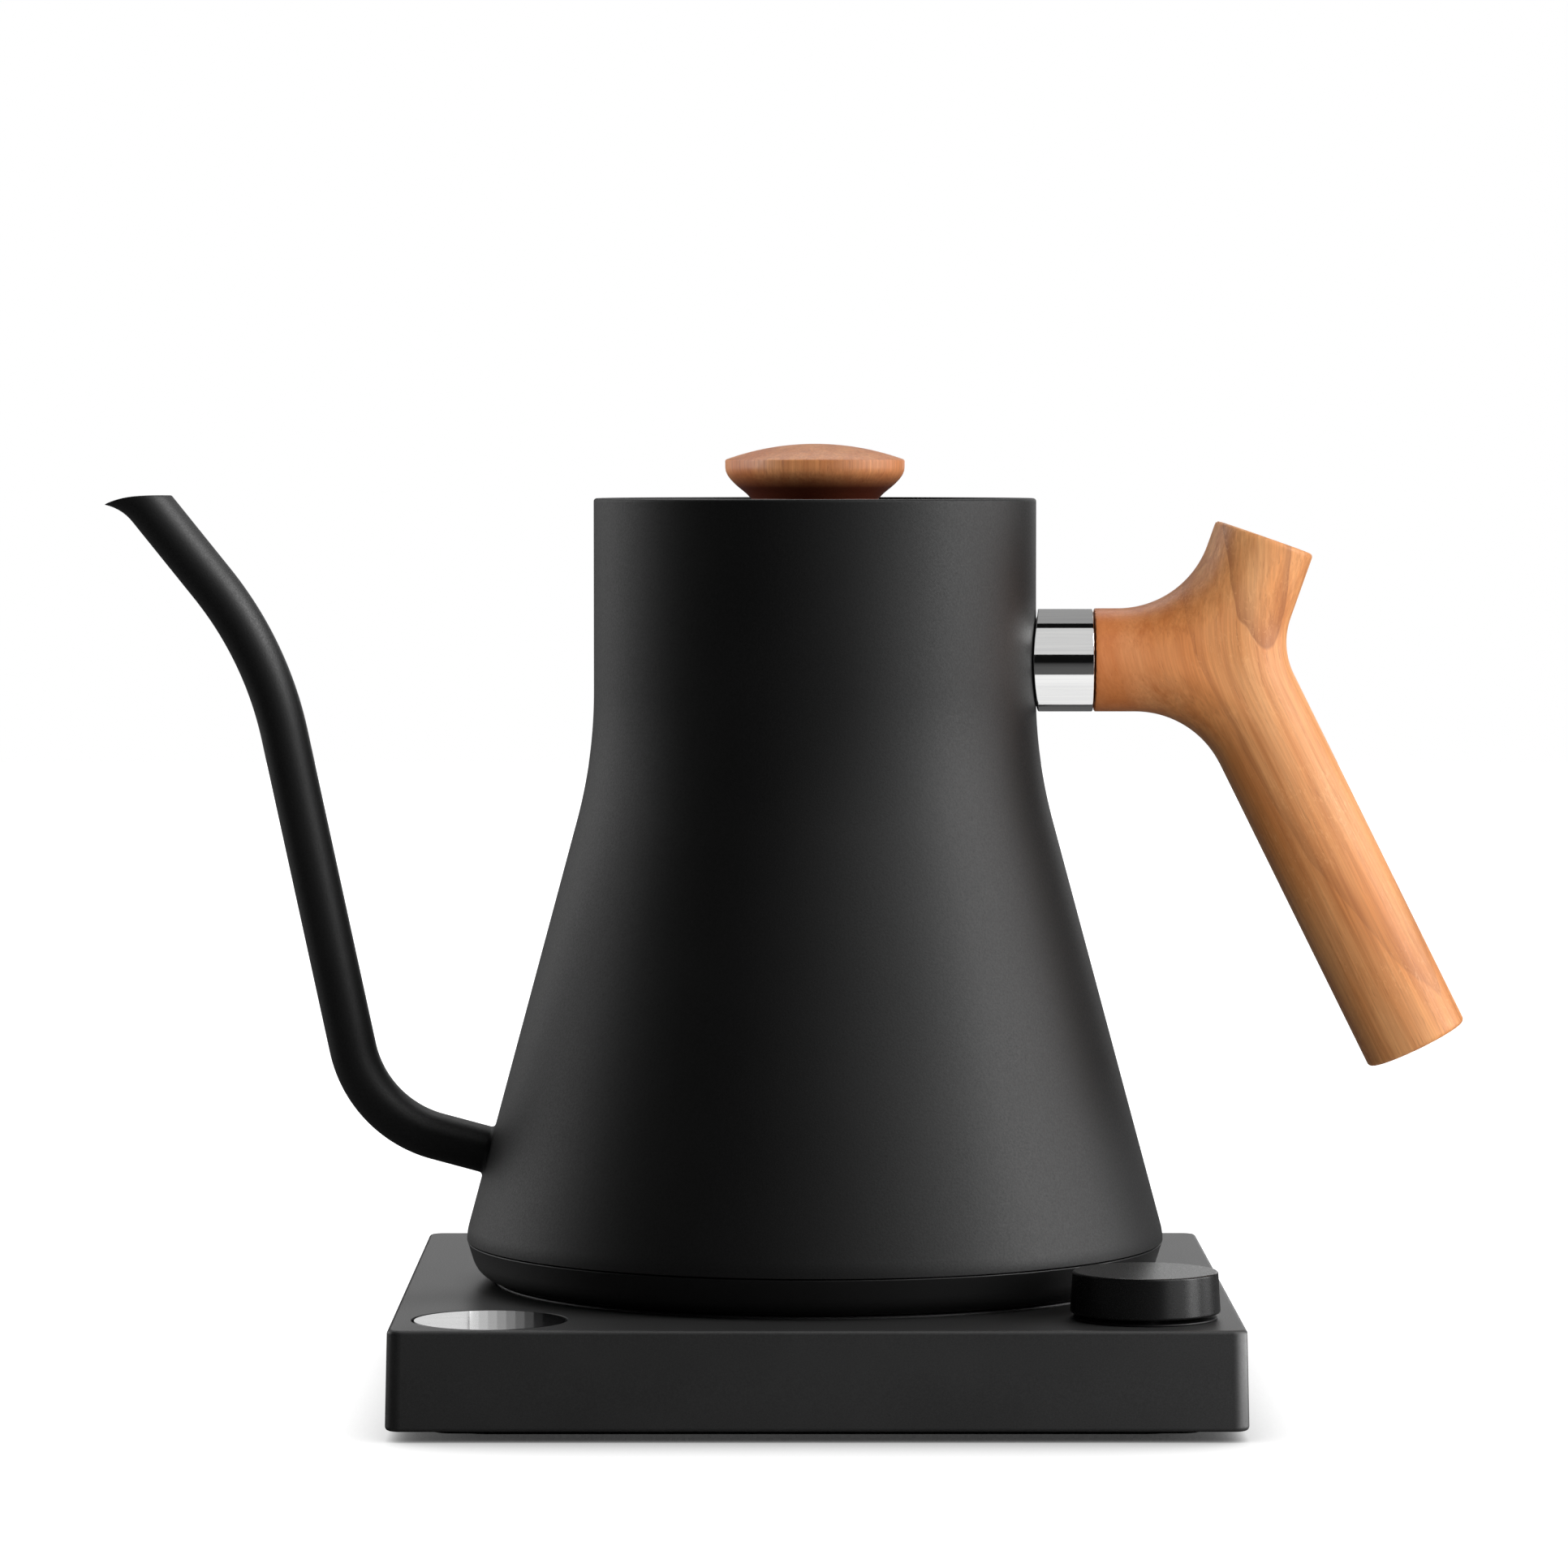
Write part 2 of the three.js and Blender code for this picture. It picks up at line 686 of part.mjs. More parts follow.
function rearRod(radius, from, to, x, z, segments = SMALL) {
  return rod(radius, -to, -from, segments).rotate([90, 0, 0]).translate([x, 0, z]);
}

function leanIn(geometry) {
  const positions = geometry.getAttribute("position");
  for (let i = 0; i < positions.count; i++) {
    const height = positions.getZ(i) / (BASE_TOP - BASE_BOTTOM);
    const scale = 1 - (BASE_DRAFT * 2 * height) / BASE_SIDE;
    positions.setX(i, positions.getX(i) * scale);
    positions.setY(i, positions.getY(i) * scale);
  }
  return geometry;
}

function cornerPlaces(offset) {
  return [[1, 1], [-1, 1], [-1, -1], [1, -1]].map(([x, y]) => [x * offset, y * offset, 0]);
}

function baseShell() {
  const outline = roundedSquare(BASE_SIDE - 2 * BASE_EDGE, BASE_CORNER - BASE_EDGE);
  const outside = new THREE.ExtrudeGeometry(outline, {
    depth: BASE_TOP - BASE_BOTTOM - 2 * BASE_EDGE,
    bevelThickness: BASE_EDGE,
    bevelSize: BASE_EDGE,
    bevelSegments: 2,
    curveSegments: 2,
  });
  const casing = solidOf(leanIn(outside.translate(0, 0, BASE_EDGE)).translate(0, 0, BASE_BOTTOM));
  const inside = slab(BASE_SIDE - 2 * BASE_WALL, 2, 0, BASE_CEILING);
  const corners = cornerPlaces(BASE_SCREW_OFFSET);
  const bosses = corners.map((place) => rod(4.3, 6, BASE_CEILING + 1, TINY).translate(place));
  const threads = corners.map((place) => rod(1.5, 5, 16, TINY).translate(place));
  const cuts = [
    rod(DOCK_RADIUS + GAP, DOCK_TOP - 1.7, 30, ROUND),
    rod(22, 15, 30, MEDIUM),
    rod(LENS_RADIUS + GAP, BASE_TOP - 1.6, 30, MEDIUM).translate([DISPLAY_X, DISPLAY_Y, 0]),
    rod(12, 15, 30, MEDIUM).translate([DISPLAY_X, DISPLAY_Y, 0]),
    rod(4.2, 15, 30, SMALL).translate([DIAL_X, DIAL_Y, 0]),
    rearRod(5.3, 80, 92, GLAND_X, GLAND_Z),
    block([HOLD_X - 7, 80, HOLD_Z - 2.8], [HOLD_X + 7, 92, HOLD_Z + 2.8]),
  ];
  return subtractAll(addAll(casing.subtract(inside), bosses), [...threads, ...cuts]);
}


function postPlaces(board) {
  const inset = 4;
  const xs = [board.low[0] + inset, board.high[0] - inset];
  const ys = [board.low[1] + inset, board.high[1] - inset];
  return xs.flatMap((x) => ys.map((y) => [x, y, 0]));
}

function baseBottomCover() {
  const flangeBottom = 2.6;
  const flangeTop = 5.2;
  const flange = slab(BASE_SIDE - 2 * BASE_WALL - 0.6, 2, flangeBottom, flangeTop);
  const plinth = slab(PLINTH_SIDE, 5, PLINTH_BOTTOM, flangeTop - 0.5);
  const places = [...postPlaces(POWER_BOARD), ...postPlaces(CONTROL_BOARD)];
  const posts = places.map((place) => rod(2.6, 4, BOARD_Z - FIT, TINY).translate(place));
  const pocket = slab(FOOT_SIDE + 0.4, 8, 0, PLINTH_BOTTOM + 0.9);
  const holes = cornerPlaces(BASE_SCREW_OFFSET).flatMap((place) => [
    rod(1.6, 1, 8, TINY).translate(place),
    rod(2.95, 1, flangeBottom + 1.5, TINY).translate(place),
  ]);
  return subtractAll(addAll(flange, [plinth, ...posts]), [pocket, ...holes]);
}

function footPad() {
  return slab(FOOT_SIDE, 7.8, 0, PLINTH_BOTTOM + 0.8);
}

function dockPlate() {
  const bottom = DOCK_TOP - 1.6;
  return turned([
    point(PLUG_RADIUS + 0.4, bottom),
    point(DOCK_RADIUS, bottom),
    point(DOCK_RADIUS, DOCK_TOP - 0.3),
    point(DOCK_RADIUS - 0.3, DOCK_TOP),
    point(PLUG_RADIUS + 0.4, DOCK_TOP),
  ]);
}

function board({ low, high }) {
  return block([...low, BOARD_Z], [...high, BOARD_Z + BOARD_THICKNESS]);
}

function relay() {
  return block([8, 48, BOARD_Z + 1.7], [37, 61, BOARD_Z + 10.5]);
}

function displayModule() {
  const half = 9;
  return block([-half, -half, BOARD_Z + 1.7], [half, half, BASE_CEILING - FIT]);
}

function displayLens() {
  return turned([
    point(0, BASE_TOP - 1.5),
    point(LENS_RADIUS, BASE_TOP - 1.5),
    point(LENS_RADIUS, BASE_TOP - 0.25),
    point(LENS_RADIUS - 0.2, BASE_TOP - 0.05),
    point(0, BASE_TOP - 0.05),
  ], MEDIUM);
}

function dialCollar() {
  return ring(4.5, 14.1, BASE_TOP + 0.05, BASE_TOP + 0.5, MEDIUM);
}

function encoderBody() {
  const half = 7;
  const can = block([-half, -half, BOARD_Z + 1.7], [half, half, 19]);
  return can.subtract(rod(3.5, 12, 21, SMALL));
}

function encoderPlunger() {
  return rod(3.1, 13, 19.4, SMALL);
}

function encoderShaft() {
  return rod(2.9, 19.5, 29.4, SMALL);
}

function dialInsert() {
  const hub = rod(13.1, DIAL_BOTTOM + 1, 30.9, MEDIUM);
  return hub.subtract(rod(3.1, 20, 29.6, SMALL));
}

function dialKnob() {
  const wall = 1.6;
  const edge = 0.45;
  return turned([
    point(0, DIAL_TOP - wall),
    point(DIAL_RADIUS - wall, DIAL_TOP - wall),
    point(DIAL_RADIUS - wall, DIAL_BOTTOM),
    point(DIAL_RADIUS - edge, DIAL_BOTTOM),
    point(DIAL_RADIUS, DIAL_BOTTOM + edge),
    point(DIAL_TOP_RADIUS, DIAL_TOP - edge),
    point(DIAL_TOP_RADIUS - edge, DIAL_TOP),
    point(0, DIAL_TOP),
  ], MEDIUM);
}

function cordGland() {
  const bushing = rearRod(5.1, 81, REAR + 1.2, GLAND_X, GLAND_Z);
  const flange = rearRod(6.2, 81, REAR - BASE_WALL - 0.2, GLAND_X, GLAND_Z);
  const bore = rearRod(3.3, 78, 92, GLAND_X, GLAND_Z);
  return bushing.add(flange).subtract(bore);
}

function holdSwitchBody() {
  return block([HOLD_X - 11, 74, HOLD_Z - 6], [HOLD_X + 11, 80.5, HOLD_Z + 6]);
}

function holdSlider() {
  const left = HOLD_X - 6.5;
  const tab = block([left, 80.8, HOLD_Z - 2.4], [left + 7, REAR + 0.9, HOLD_Z + 2.4]);
  const grooves = [1.6, 3.2, 4.8].map((offset) =>
    block([left + offset, REAR + 0.5, HOLD_Z - 3], [left + offset + 0.6, REAR + 2, HOLD_Z + 3]),
  );
  return subtractAll(tab, grooves);
}

// ---- The assembly ----

function piece(name, finish, solid, place = [0, 0, 0]) {
  const [color, roughness, metalness] = FINISHES[finish];
  const material = new THREE.MeshStandardMaterial({ color, roughness, metalness });
  const mesh = new THREE.Mesh(geometryOf(solid), material);
  mesh.name = name;
  mesh.position.set(...place);
  return mesh;
}

function group(name, pieces, place = [0, 0, 0]) {
  const made = new THREE.Group();
  made.name = name;
  made.position.set(...place);
  made.add(...pieces);
  return made;
}

const dialGroup = group("dial_assembly", [
  piece("dial_collar", "dark_plastic", dialCollar()),
  piece("encoder_body", "component", encoderBody()),
  piece("encoder_plunger", "brass", encoderPlunger()),
  piece("encoder_shaft", "steel", encoderShaft()),
  piece("dial_insert", "dark_plastic", dialInsert()),
  piece("dial_knob", "powder_coat", dialKnob()),
], [DIAL_X, DIAL_Y, 0]);

const displayGroup = group("display_assembly", [
  piece("display_module", "component", displayModule()),
  piece("display_lens", "glass", displayLens()),
], [DISPLAY_X, DISPLAY_Y, 0]);

const baseGroup = group("powered_base", [
  piece("base_shell", "base_plastic", baseShell()),
  piece("base_bottom_cover", "dark_plastic", baseBottomCover()),
  piece("foot_pad", "rubber", footPad()),
  piece("dock_plate", "base_plastic", dockPlate()),
  piece("base_connector_housing", "dark_plastic", baseConnectorHousing()),
  piece("base_connector_pin", "brass", baseConnectorPin()),
  piece("base_contact_ring", "brass", baseContactRing()),
  piece("power_board", "circuit_board", board(POWER_BOARD)),
  piece("relay", "component", relay()),
  piece("control_board", "circuit_board", board(CONTROL_BOARD)),
  piece("cord_gland", "dark_plastic", cordGland()),
  piece("hold_switch_body", "component", holdSwitchBody()),
  piece("hold_slider", "dark_plastic", holdSlider()),
  ...cornerPlaces(BASE_SCREW_OFFSET).map(([x, y], i) =>
    piece("base_screw_" + (i + 1), "steel", screw(2.65, 1.2, 1.3, 9), [x, y, 2.8]),
  ),
  dialGroup,
  displayGroup,
]);

const couplerGroup = group("kettle_connector", [
  piece("kettle_connector_housing", "dark_plastic", kettleConnectorHousing()),
  piece("kettle_connector_socket", "brass", kettleConnectorSocket()),
  piece("kettle_contact_ring", "brass", kettleContactRing()),
]);

const handleGroup = group("handle", [
  piece("handle_ferrule", "steel", handleFerrule()),
  piece("handle_boss", "brushed_steel", handleBoss()),
  piece("handle_stud", "steel", handleStud()),
  piece("handle_insert", "brass", handleInsert()),
  piece("handle_grip", "cherry_wood", handleGrip()),
]);

const vesselGroup = group("kettle", [
  piece("body_shell", "powder_coat", bodyShell()),
  piece("neck_ring", "brushed_steel", neckRing()),
  piece("vessel_floor", "brushed_steel", vesselFloor()),
  piece("heat_spreader", "aluminium", heatSpreader()),
  piece("heating_element", "steel", heatingElement()),
  piece("thermostat", "component", thermostat(), [0, -31.2, 0]),
  piece("temperature_probe", "steel", temperatureProbe(), [0, PROBE_Y, 0]),
  piece("probe_seal", "silicone", probeSeal(), [0, PROBE_Y, 0]),
  piece("kettle_bottom_cover", "dark_plastic", kettleBottomCover()),
  piece("spout_tube", "powder_coat", spoutTube()),
  ...undersideScrewPlaces().map(([x, y], i) =>
    piece("underside_screw_" + (i + 1), "steel", screw(2.9, 1, 1.3, 14.5), [x, y, UNDERSIDE_Z + 0.1]),
  ),
  handleGroup,
]);

const lidGroup = group("lid", [
  piece("lid_disc", "powder_coat", lidDisc()),
  piece("lid_skirt", "brushed_steel", lidSkirt()),
  piece("lid_seal", "silicone", lidSeal()),
  piece("lid_knob", "walnut_wood", lidKnob()),
  piece("lid_insert", "brass", lidInsert()),
  piece("lid_screw", "steel", lidScrew()),
  piece("lid_washer", "steel", lidWasher()),
]);

export default group("gooseneck_kettle", [baseGroup, couplerGroup, vesselGroup, lidGroup]);
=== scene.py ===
"""Looks of an electric gooseneck kettle on its square powered base, built round its CAD frame.

Metres, +Z up, the frame's own coordinates: the origin is on the kettle's axis at the table, +X
points to the handle and -Y to the dial. Shapes are worked out in millimetres, each by a function
of a few sizes, and their places come from the frame's boxes.
"""
from math import atan2, cos, hypot, pi, radians, sin, sqrt, tan

import bmesh
import bpy
import numpy as np
from mathutils import Matrix, Vector


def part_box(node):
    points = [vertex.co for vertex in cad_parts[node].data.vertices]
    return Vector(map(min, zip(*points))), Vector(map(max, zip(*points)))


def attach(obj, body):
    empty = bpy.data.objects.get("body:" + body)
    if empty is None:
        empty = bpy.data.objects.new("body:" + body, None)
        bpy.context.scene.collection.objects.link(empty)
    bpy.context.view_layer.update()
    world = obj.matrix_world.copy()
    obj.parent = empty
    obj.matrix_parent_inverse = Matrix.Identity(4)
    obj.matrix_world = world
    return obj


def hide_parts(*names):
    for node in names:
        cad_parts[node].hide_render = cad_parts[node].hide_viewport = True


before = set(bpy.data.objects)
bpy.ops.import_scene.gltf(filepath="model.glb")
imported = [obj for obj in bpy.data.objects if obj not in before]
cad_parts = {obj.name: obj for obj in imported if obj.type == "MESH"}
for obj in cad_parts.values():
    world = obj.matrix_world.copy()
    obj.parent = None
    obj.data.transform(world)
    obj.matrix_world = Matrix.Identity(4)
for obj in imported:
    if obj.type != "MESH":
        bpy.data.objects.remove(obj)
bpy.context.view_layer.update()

MM = 0.001
TAU = 2 * pi
QUARTER = pi / 2

# -------- sizes of the shapes, millimetres

VESSEL_WALL = 1.0
SHOULDER_ARC = 107.1
SHOULDER_BELOW_RIM = 41.2
CONE_ANGLE = radians(15.04)
HEM_ARC = 12.3
SPOUT_RADIUS = 5.05
SPOUT_BORE = 4.25
SPOUT_ROOT_ABOVE_SEAM = 18.8
SPOUT_REACH = 26.8
SPOUT_RISER_ANGLE = radians(12.1)
SPOUT_NECK_ANGLE = radians(38.7)
SPOUT_RISE = 100.35
SPOUT_LOWER_BEND = 25.2
SPOUT_UPPER_BEND = 78.0
LIP_LENGTH = 7.2
MOUTH_ABOVE_RIM = 0.6
STUB_LEAN = radians(19.45)
GRIP_LEAN = radians(26.36)
STUB_HALF = 11.0
GRIP_HALF = 11.35
OUTER_FILLET = 20.3
CROTCH_FILLET = 15.5
PLINTH_HALF = 79.35


def low(node):
    return [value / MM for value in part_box(node)[0]]


def high(node):
    return [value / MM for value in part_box(node)[1]]


def heights(node):
    """The bottom and the top of a CAD node."""
    return low(node)[2], high(node)[2]


def centre(node):
    return [(a + b) / 2 for a, b in zip(low(node), high(node))]


def half_width(node):
    return (high(node)[0] - low(node)[0]) / 2


def foot_of(node):
    """Where the axis of an upright CAD node meets the table."""
    return (*centre(node)[:2], 0)


SEAM_Z, RIM_Z = heights("body_shell")
SEAM_RADIUS = high("body_shell")[0]
SHOULDER_Z = RIM_Z - SHOULDER_BELOW_RIM
HANDLE_Z = centre("handle_ferrule")[2]
FERRULE_RADIUS = (high("handle_ferrule")[2] - low("handle_ferrule")[2]) / 2
FERRULE_END = high("handle_ferrule")[0]
DIAL = foot_of("dial_knob")
DISPLAY = foot_of("display_lens")
LENS_RADIUS = half_width("display_lens")
BASE_BOTTOM, BASE_TOP = heights("base_shell")
BASE_HALF = high("base_shell")[0]
DOCK_RADIUS, _, DOCK_TOP = high("dock_plate")
KNOB_RADIUS, _, KNOB_TOP = high("lid_knob")
GLAND = centre("cord_gland")
WOOD_LOW, WOOD_HIGH = low("handle_grip"), high("handle_grip")
STUB_END = Vector((FERRULE_END + 36.8, WOOD_HIGH[2] - STUB_HALF * sin(STUB_LEAN)))
GRIP_END = Vector((WOOD_HIGH[0] - GRIP_HALF * cos(GRIP_LEAN),
                   WOOD_LOW[2] + GRIP_HALF * sin(GRIP_LEAN)))


# -------- outlines

def arc(middle, radius, start, end, steps):
    """Points on an arc, from angle start to angle end, both included."""
    angles = [start + (end - start) * i / steps for i in range(steps + 1)]
    return [(middle[0] + radius * cos(a), middle[1] + radius * sin(a)) for a in angles]


def rounded(corners, closed=False, steps=6):
    """A line through (x, y) or (x, y, radius) corners, with each radius made an arc."""
    points = []
    count = len(corners)
    for i, corner in enumerate(corners):
        here = Vector(corner[:2])
        radius = corner[2] if len(corner) > 2 else 0
        if radius == 0 or (not closed and i in (0, count - 1)):
            points.append(tuple(here))
            continue
        back = (Vector(corners[i - 1][:2]) - here).normalized()
        ahead = (Vector(corners[(i + 1) % count][:2]) - here).normalized()
        half = back.angle(ahead) / 2
        middle = here + (back + ahead).normalized() * radius / sin(half)
        start = here + back * radius / tan(half) - middle
        end = here + ahead * radius / tan(half) - middle
        first = atan2(start.y, start.x)
        points += arc(middle, radius, first, first - start.angle_signed(end), steps)
    return points


def profile_of(corners, steps=6):
    """The rounded profile of a turned piece: a closed loop, or a line from the axis to the axis."""
    return rounded(corners, corners[0][0] > 0, steps)


def cone_radius(z, inset=0.0):
    """Radius of the vessel's cone at a height."""
    return CONE_TOP[0] + (CONE_TOP[1] - z) * tan(CONE_ANGLE) - inset / cos(CONE_ANGLE)


HEM_CENTRE = SEAM_RADIUS - HEM_ARC
HEM_TOP = (HEM_CENTRE + HEM_ARC * cos(CONE_ANGLE), SEAM_Z + HEM_ARC * sin(CONE_ANGLE))
CONE_TOP_Z = SHOULDER_Z - SHOULDER_ARC * sin(CONE_ANGLE)
CONE_TOP = (HEM_TOP[0] - (CONE_TOP_Z - HEM_TOP[1]) * tan(CONE_ANGLE), CONE_TOP_Z)
RIM_RADIUS = CONE_TOP[0] - SHOULDER_ARC * (1 - cos(CONE_ANGLE))


def vessel_radius(z):
    """Outside radius of the vessel at any height."""
    if z >= SHOULDER_Z:
        return RIM_RADIUS
    if z <= CONE_TOP_Z:
        return cone_radius(z)
    return RIM_RADIUS + SHOULDER_ARC - sqrt(SHOULDER_ARC ** 2 - (SHOULDER_Z - z) ** 2)


def vessel_line(inset):
    """Down the vessel from the top of its shoulder to the seam, at a distance inside its outside."""
    shoulder_rows, cone_rows, hem_rows = 20, 14, 6
    shoulder = arc((RIM_RADIUS + SHOULDER_ARC, SHOULDER_Z), SHOULDER_ARC + inset,
                   pi, pi + CONE_ANGLE, shoulder_rows)
    hem = arc((HEM_CENTRE, SEAM_Z), HEM_ARC - inset, CONE_ANGLE, 0, hem_rows)
    top, bottom = Vector(shoulder[-1]), Vector(hem[0])
    return shoulder + [tuple(top.lerp(bottom, i / cone_rows)) for i in range(1, cone_rows)] + hem


# -------- meshes

SHARP = radians(28)


def add(name, data):
    obj = bpy.data.objects.new(name, data)
    bpy.context.scene.collection.objects.link(obj)
    return obj


def make_object(name, vertices, faces, sharp=SHARP):
    """A smooth-shaded object in the frame from vertices in millimetres."""
    mesh = bpy.data.meshes.new(name)
    mesh.from_pydata([tuple(c * MM for c in v) for v in vertices], [], faces)
    tidy(mesh)
    obj = add(name, mesh)
    shade(obj, sharp)
    return obj


def tidy(mesh):
    """Merges doubled vertices and turns every face outwards."""
    bm = bmesh.new()
    bm.from_mesh(mesh)
    bmesh.ops.remove_doubles(bm, verts=bm.verts, dist=1e-7)
    bmesh.ops.dissolve_degenerate(bm, edges=bm.edges, dist=1e-8)
    bmesh.ops.recalc_face_normals(bm, faces=bm.faces)
    bm.to_mesh(mesh)
    bm.free()


def shade(obj, sharp=SHARP):
    obj.data.polygons.foreach_set("use_smooth", [True] * len(obj.data.polygons))
    obj.data.set_sharp_from_angle(angle=sharp)
    normals = obj.modifiers.new("even_normals", "WEIGHTED_NORMAL")
    normals.keep_sharp = True
    normals.weight = 60


def lathe(name, profile, segments, place=(0, 0, 0), turn=None, warp=None):
    """Turns a profile of (radius, height) round Z. It is a closed loop, or starts and ends on the axis."""
    angles = [TAU * k / segments for k in range(segments)]
    vertices = [Vector((radius * cos(a), radius * sin(a), height))
                for radius, height in profile for a in angles]
    rows = len(profile)
    faces = []
    for row in range(rows - 1 if profile[0][0] == 0 else rows):
        below, above = row * segments, (row + 1) % rows * segments
        for k in range(segments):
            ahead = (k + 1) % segments
            faces.append([below + k, below + ahead, above + ahead, above + k])
    if turn:
        vertices = [turn @ v for v in vertices]
    vertices = [v + Vector(place) for v in vertices]
    if warp:
        vertices = [warp(v) for v in vertices]
    return make_object(name, vertices, faces)


def square_loop(half, corner, z, steps=6):
    """A rounded square at a height, anticlockwise."""
    reach = (half - corner) * sqrt(2)
    loop = []
    for start in (0, QUARTER, 2 * QUARTER, 3 * QUARTER):
        diagonal = start + QUARTER / 2
        middle = (reach * cos(diagonal), reach * sin(diagonal))
        loop += arc(middle, corner, start, start + QUARTER, steps)
    return [(x, y, z) for x, y in loop]


def loft(name, loops):
    """Skins a stack of equal loops and closes both ends."""
    size = len(loops[0])
    vertices = [v for loop in loops for v in loop]
    faces = [list(range(size)), [len(vertices) - size + k for k in range(size)]]
    for start in range(0, len(vertices) - size, size):
        for k in range(size):
            ahead = (k + 1) % size
            faces.append([start + k, start + ahead, start + size + ahead, start + size + k])
    return make_object(name, vertices, faces)


def rounded_box(name, corner_low, corner_high, edge, steps=3):
    """A block with rounded edges."""
    bm = bmesh.new()
    size = [b - a for a, b in zip(corner_low, corner_high)]
    middle = [(a + b) / 2 for a, b in zip(corner_low, corner_high)]
    bmesh.ops.create_cube(bm, size=1, matrix=Matrix.Translation(middle) @ Matrix.Diagonal((*size, 1)))
    bmesh.ops.bevel(bm, geom=bm.edges, offset=edge, segments=steps, profile=0.5, affect="EDGES")
    bm.verts.index_update()
    vertices = [tuple(v.co) for v in bm.verts]
    faces = [[v.index for v in face.verts] for face in bm.faces]
    bm.free()
    return make_object(name, vertices, faces)


def combine(obj, operation, *solids):
    """Takes solids out of an object or adds them to it, removes them, and shades it again."""
    for solid in solids:
        boolean = obj.modifiers.new("boolean", "BOOLEAN")
        boolean.object = solid
        boolean.operation = operation
        boolean.solver = "EXACT"
    for each in (obj, *solids):
        each.modifiers.remove(each.modifiers["even_normals"])
    old, graph = obj.data, bpy.context.evaluated_depsgraph_get()
    obj.data = bpy.data.meshes.new_from_object(obj.evaluated_get(graph))
    obj.data.name = obj.name
    obj.modifiers.clear()
    bpy.data.meshes.remove(old)
    for solid in solids:
        bpy.data.objects.remove(solid)
    tidy(obj.data)
    shade(obj)


def cut(obj, *cutters):
    combine(obj, "DIFFERENCE", *cutters)


def join(obj, *others):
    combine(obj, "UNION", *others)


def cylinder(radius, bottom, top, place=(0, 0, 0), turn=None, flare=0.0, segments=96):
    """A cutter. A flare leaves a chamfer round the hole, whose mouth is below the cutter's top."""
    mouth = top - 10
    return lathe("cutter", [(0, bottom), (radius, bottom), (radius, mouth - flare), (radius + flare, mouth),
                            (radius + flare, top), (0, top)], segments, place, turn)


def finish_piece(obj, body, material, slot, *nodes):
    """Gives a piece its material and its body, and hides the CAD nodes that it stands for. The slot is not
    used.
    """
    obj.data.materials.clear()
    obj.data.materials.append(material)
    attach(obj, body)
    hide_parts(*nodes)


# -------- materials

class Graph:
    """The nodes of one material. Each call adds a node and gives back its output."""

    def __init__(self, name):
        self.material = bpy.data.materials.new(name)
        self.material.use_nodes = True
        self.tree = self.material.node_tree
        self.tree.nodes.clear()
        self.place = self.node("TexCoord").outputs["Object"]

    def node(self, kind, inputs=(), **settings):
        """Adds a node. The inputs are in the node's own order, or under their names."""
        node = self.tree.nodes.new("ShaderNode" + kind)
        for name, value in settings.items():
            setattr(node, name, value)
        for key, value in inputs.items() if isinstance(inputs, dict) else enumerate(inputs):
            if isinstance(value, bpy.types.NodeSocket):
                self.tree.links.new(value, node.inputs[key])
            else:
                node.inputs[key].default_value = value
        return node

    def math(self, operation, *values, clamp=False):
        return self.node("Math", values, operation=operation, use_clamp=clamp).outputs[0]

    def vector(self, operation, *values):
        node = self.node("VectorMath", values, operation=operation)
        return node.outputs["Value" if operation == "LENGTH" else "Vector"]

    def combined(self, *values):
        return self.node("CombineXYZ", values).outputs[0]

    def stretched(self, vector, scale):
        return self.node("Mapping", (vector, (0, 0, 0), (0, 0, 0), scale)).outputs[0]

    def noise(self, vector, scale, detail=2.0, roughness=0.5, distortion=0.0, output=0):
        """Noise of a scale in cycles per metre, or of three scales, one for each axis."""
        if isinstance(scale, tuple):
            vector, scale = self.stretched(vector, scale), 1
        return self.node("TexNoise", {
            "Vector": vector, "Scale": scale, "Detail": detail, "Roughness": roughness,
            "Distortion": distortion}).outputs[output]

    def spread(self, value, low_in, high_in, low_out=0.0, high_out=1.0):
        """Stretches a range of values to another one, and stops at its ends."""
        return self.node("MapRange", (value, low_in, high_in, low_out, high_out)).outputs[0]

    def blend(self, factor, first, second):
        """Mixes two colours."""
        first, second = (c if isinstance(c, bpy.types.NodeSocket) else (*c, 1) for c in (first, second))
        return self.node("Mix", {0: factor, 6: first, 7: second}, data_type="RGBA").outputs[2]

    def bump(self, height, depth_mm):
        return self.node("Bump", {"Strength": 1, "Distance": depth_mm * MM, "Height": height}).outputs[0]

    def finish(self, colour, roughness, **others):
        """Closes the material with its shader. The others are the shader's own sockets."""
        inputs = {name.replace("_", " "): value for name, value in others.items()}
        shader = self.node("BsdfPrincipled", {"Base Color": colour, "Roughness": roughness, **inputs})
        self.node("OutputMaterial", [shader.outputs[0]])
        return self.material


def grained(name, colour, roughness, grain_mm, depth_mm, contrast):
    """A painted or moulded surface: fine grain in colour, gloss and height over soft cloudiness."""
    graph = Graph(name)
    grain = graph.noise(graph.place, 1 / (grain_mm * MM), 2, 0.55)
    cloud = graph.noise(graph.place, 1 / (25 * MM), 2, 0.5)
    dark, light = (tuple(c * share for c in colour) for share in (1 - contrast, 1 + contrast))
    uneven = graph.spread(cloud, 0.3, 0.7, -0.2, 0.2)
    tone = graph.math("ADD", graph.spread(grain, 0.3, 0.7), uneven, clamp=True)
    gloss = graph.spread(grain, 0.25, 0.75, roughness + 0.06, roughness - 0.06)
    return graph.finish(graph.blend(tone, dark, light), gloss, Normal=graph.bump(grain, depth_mm))


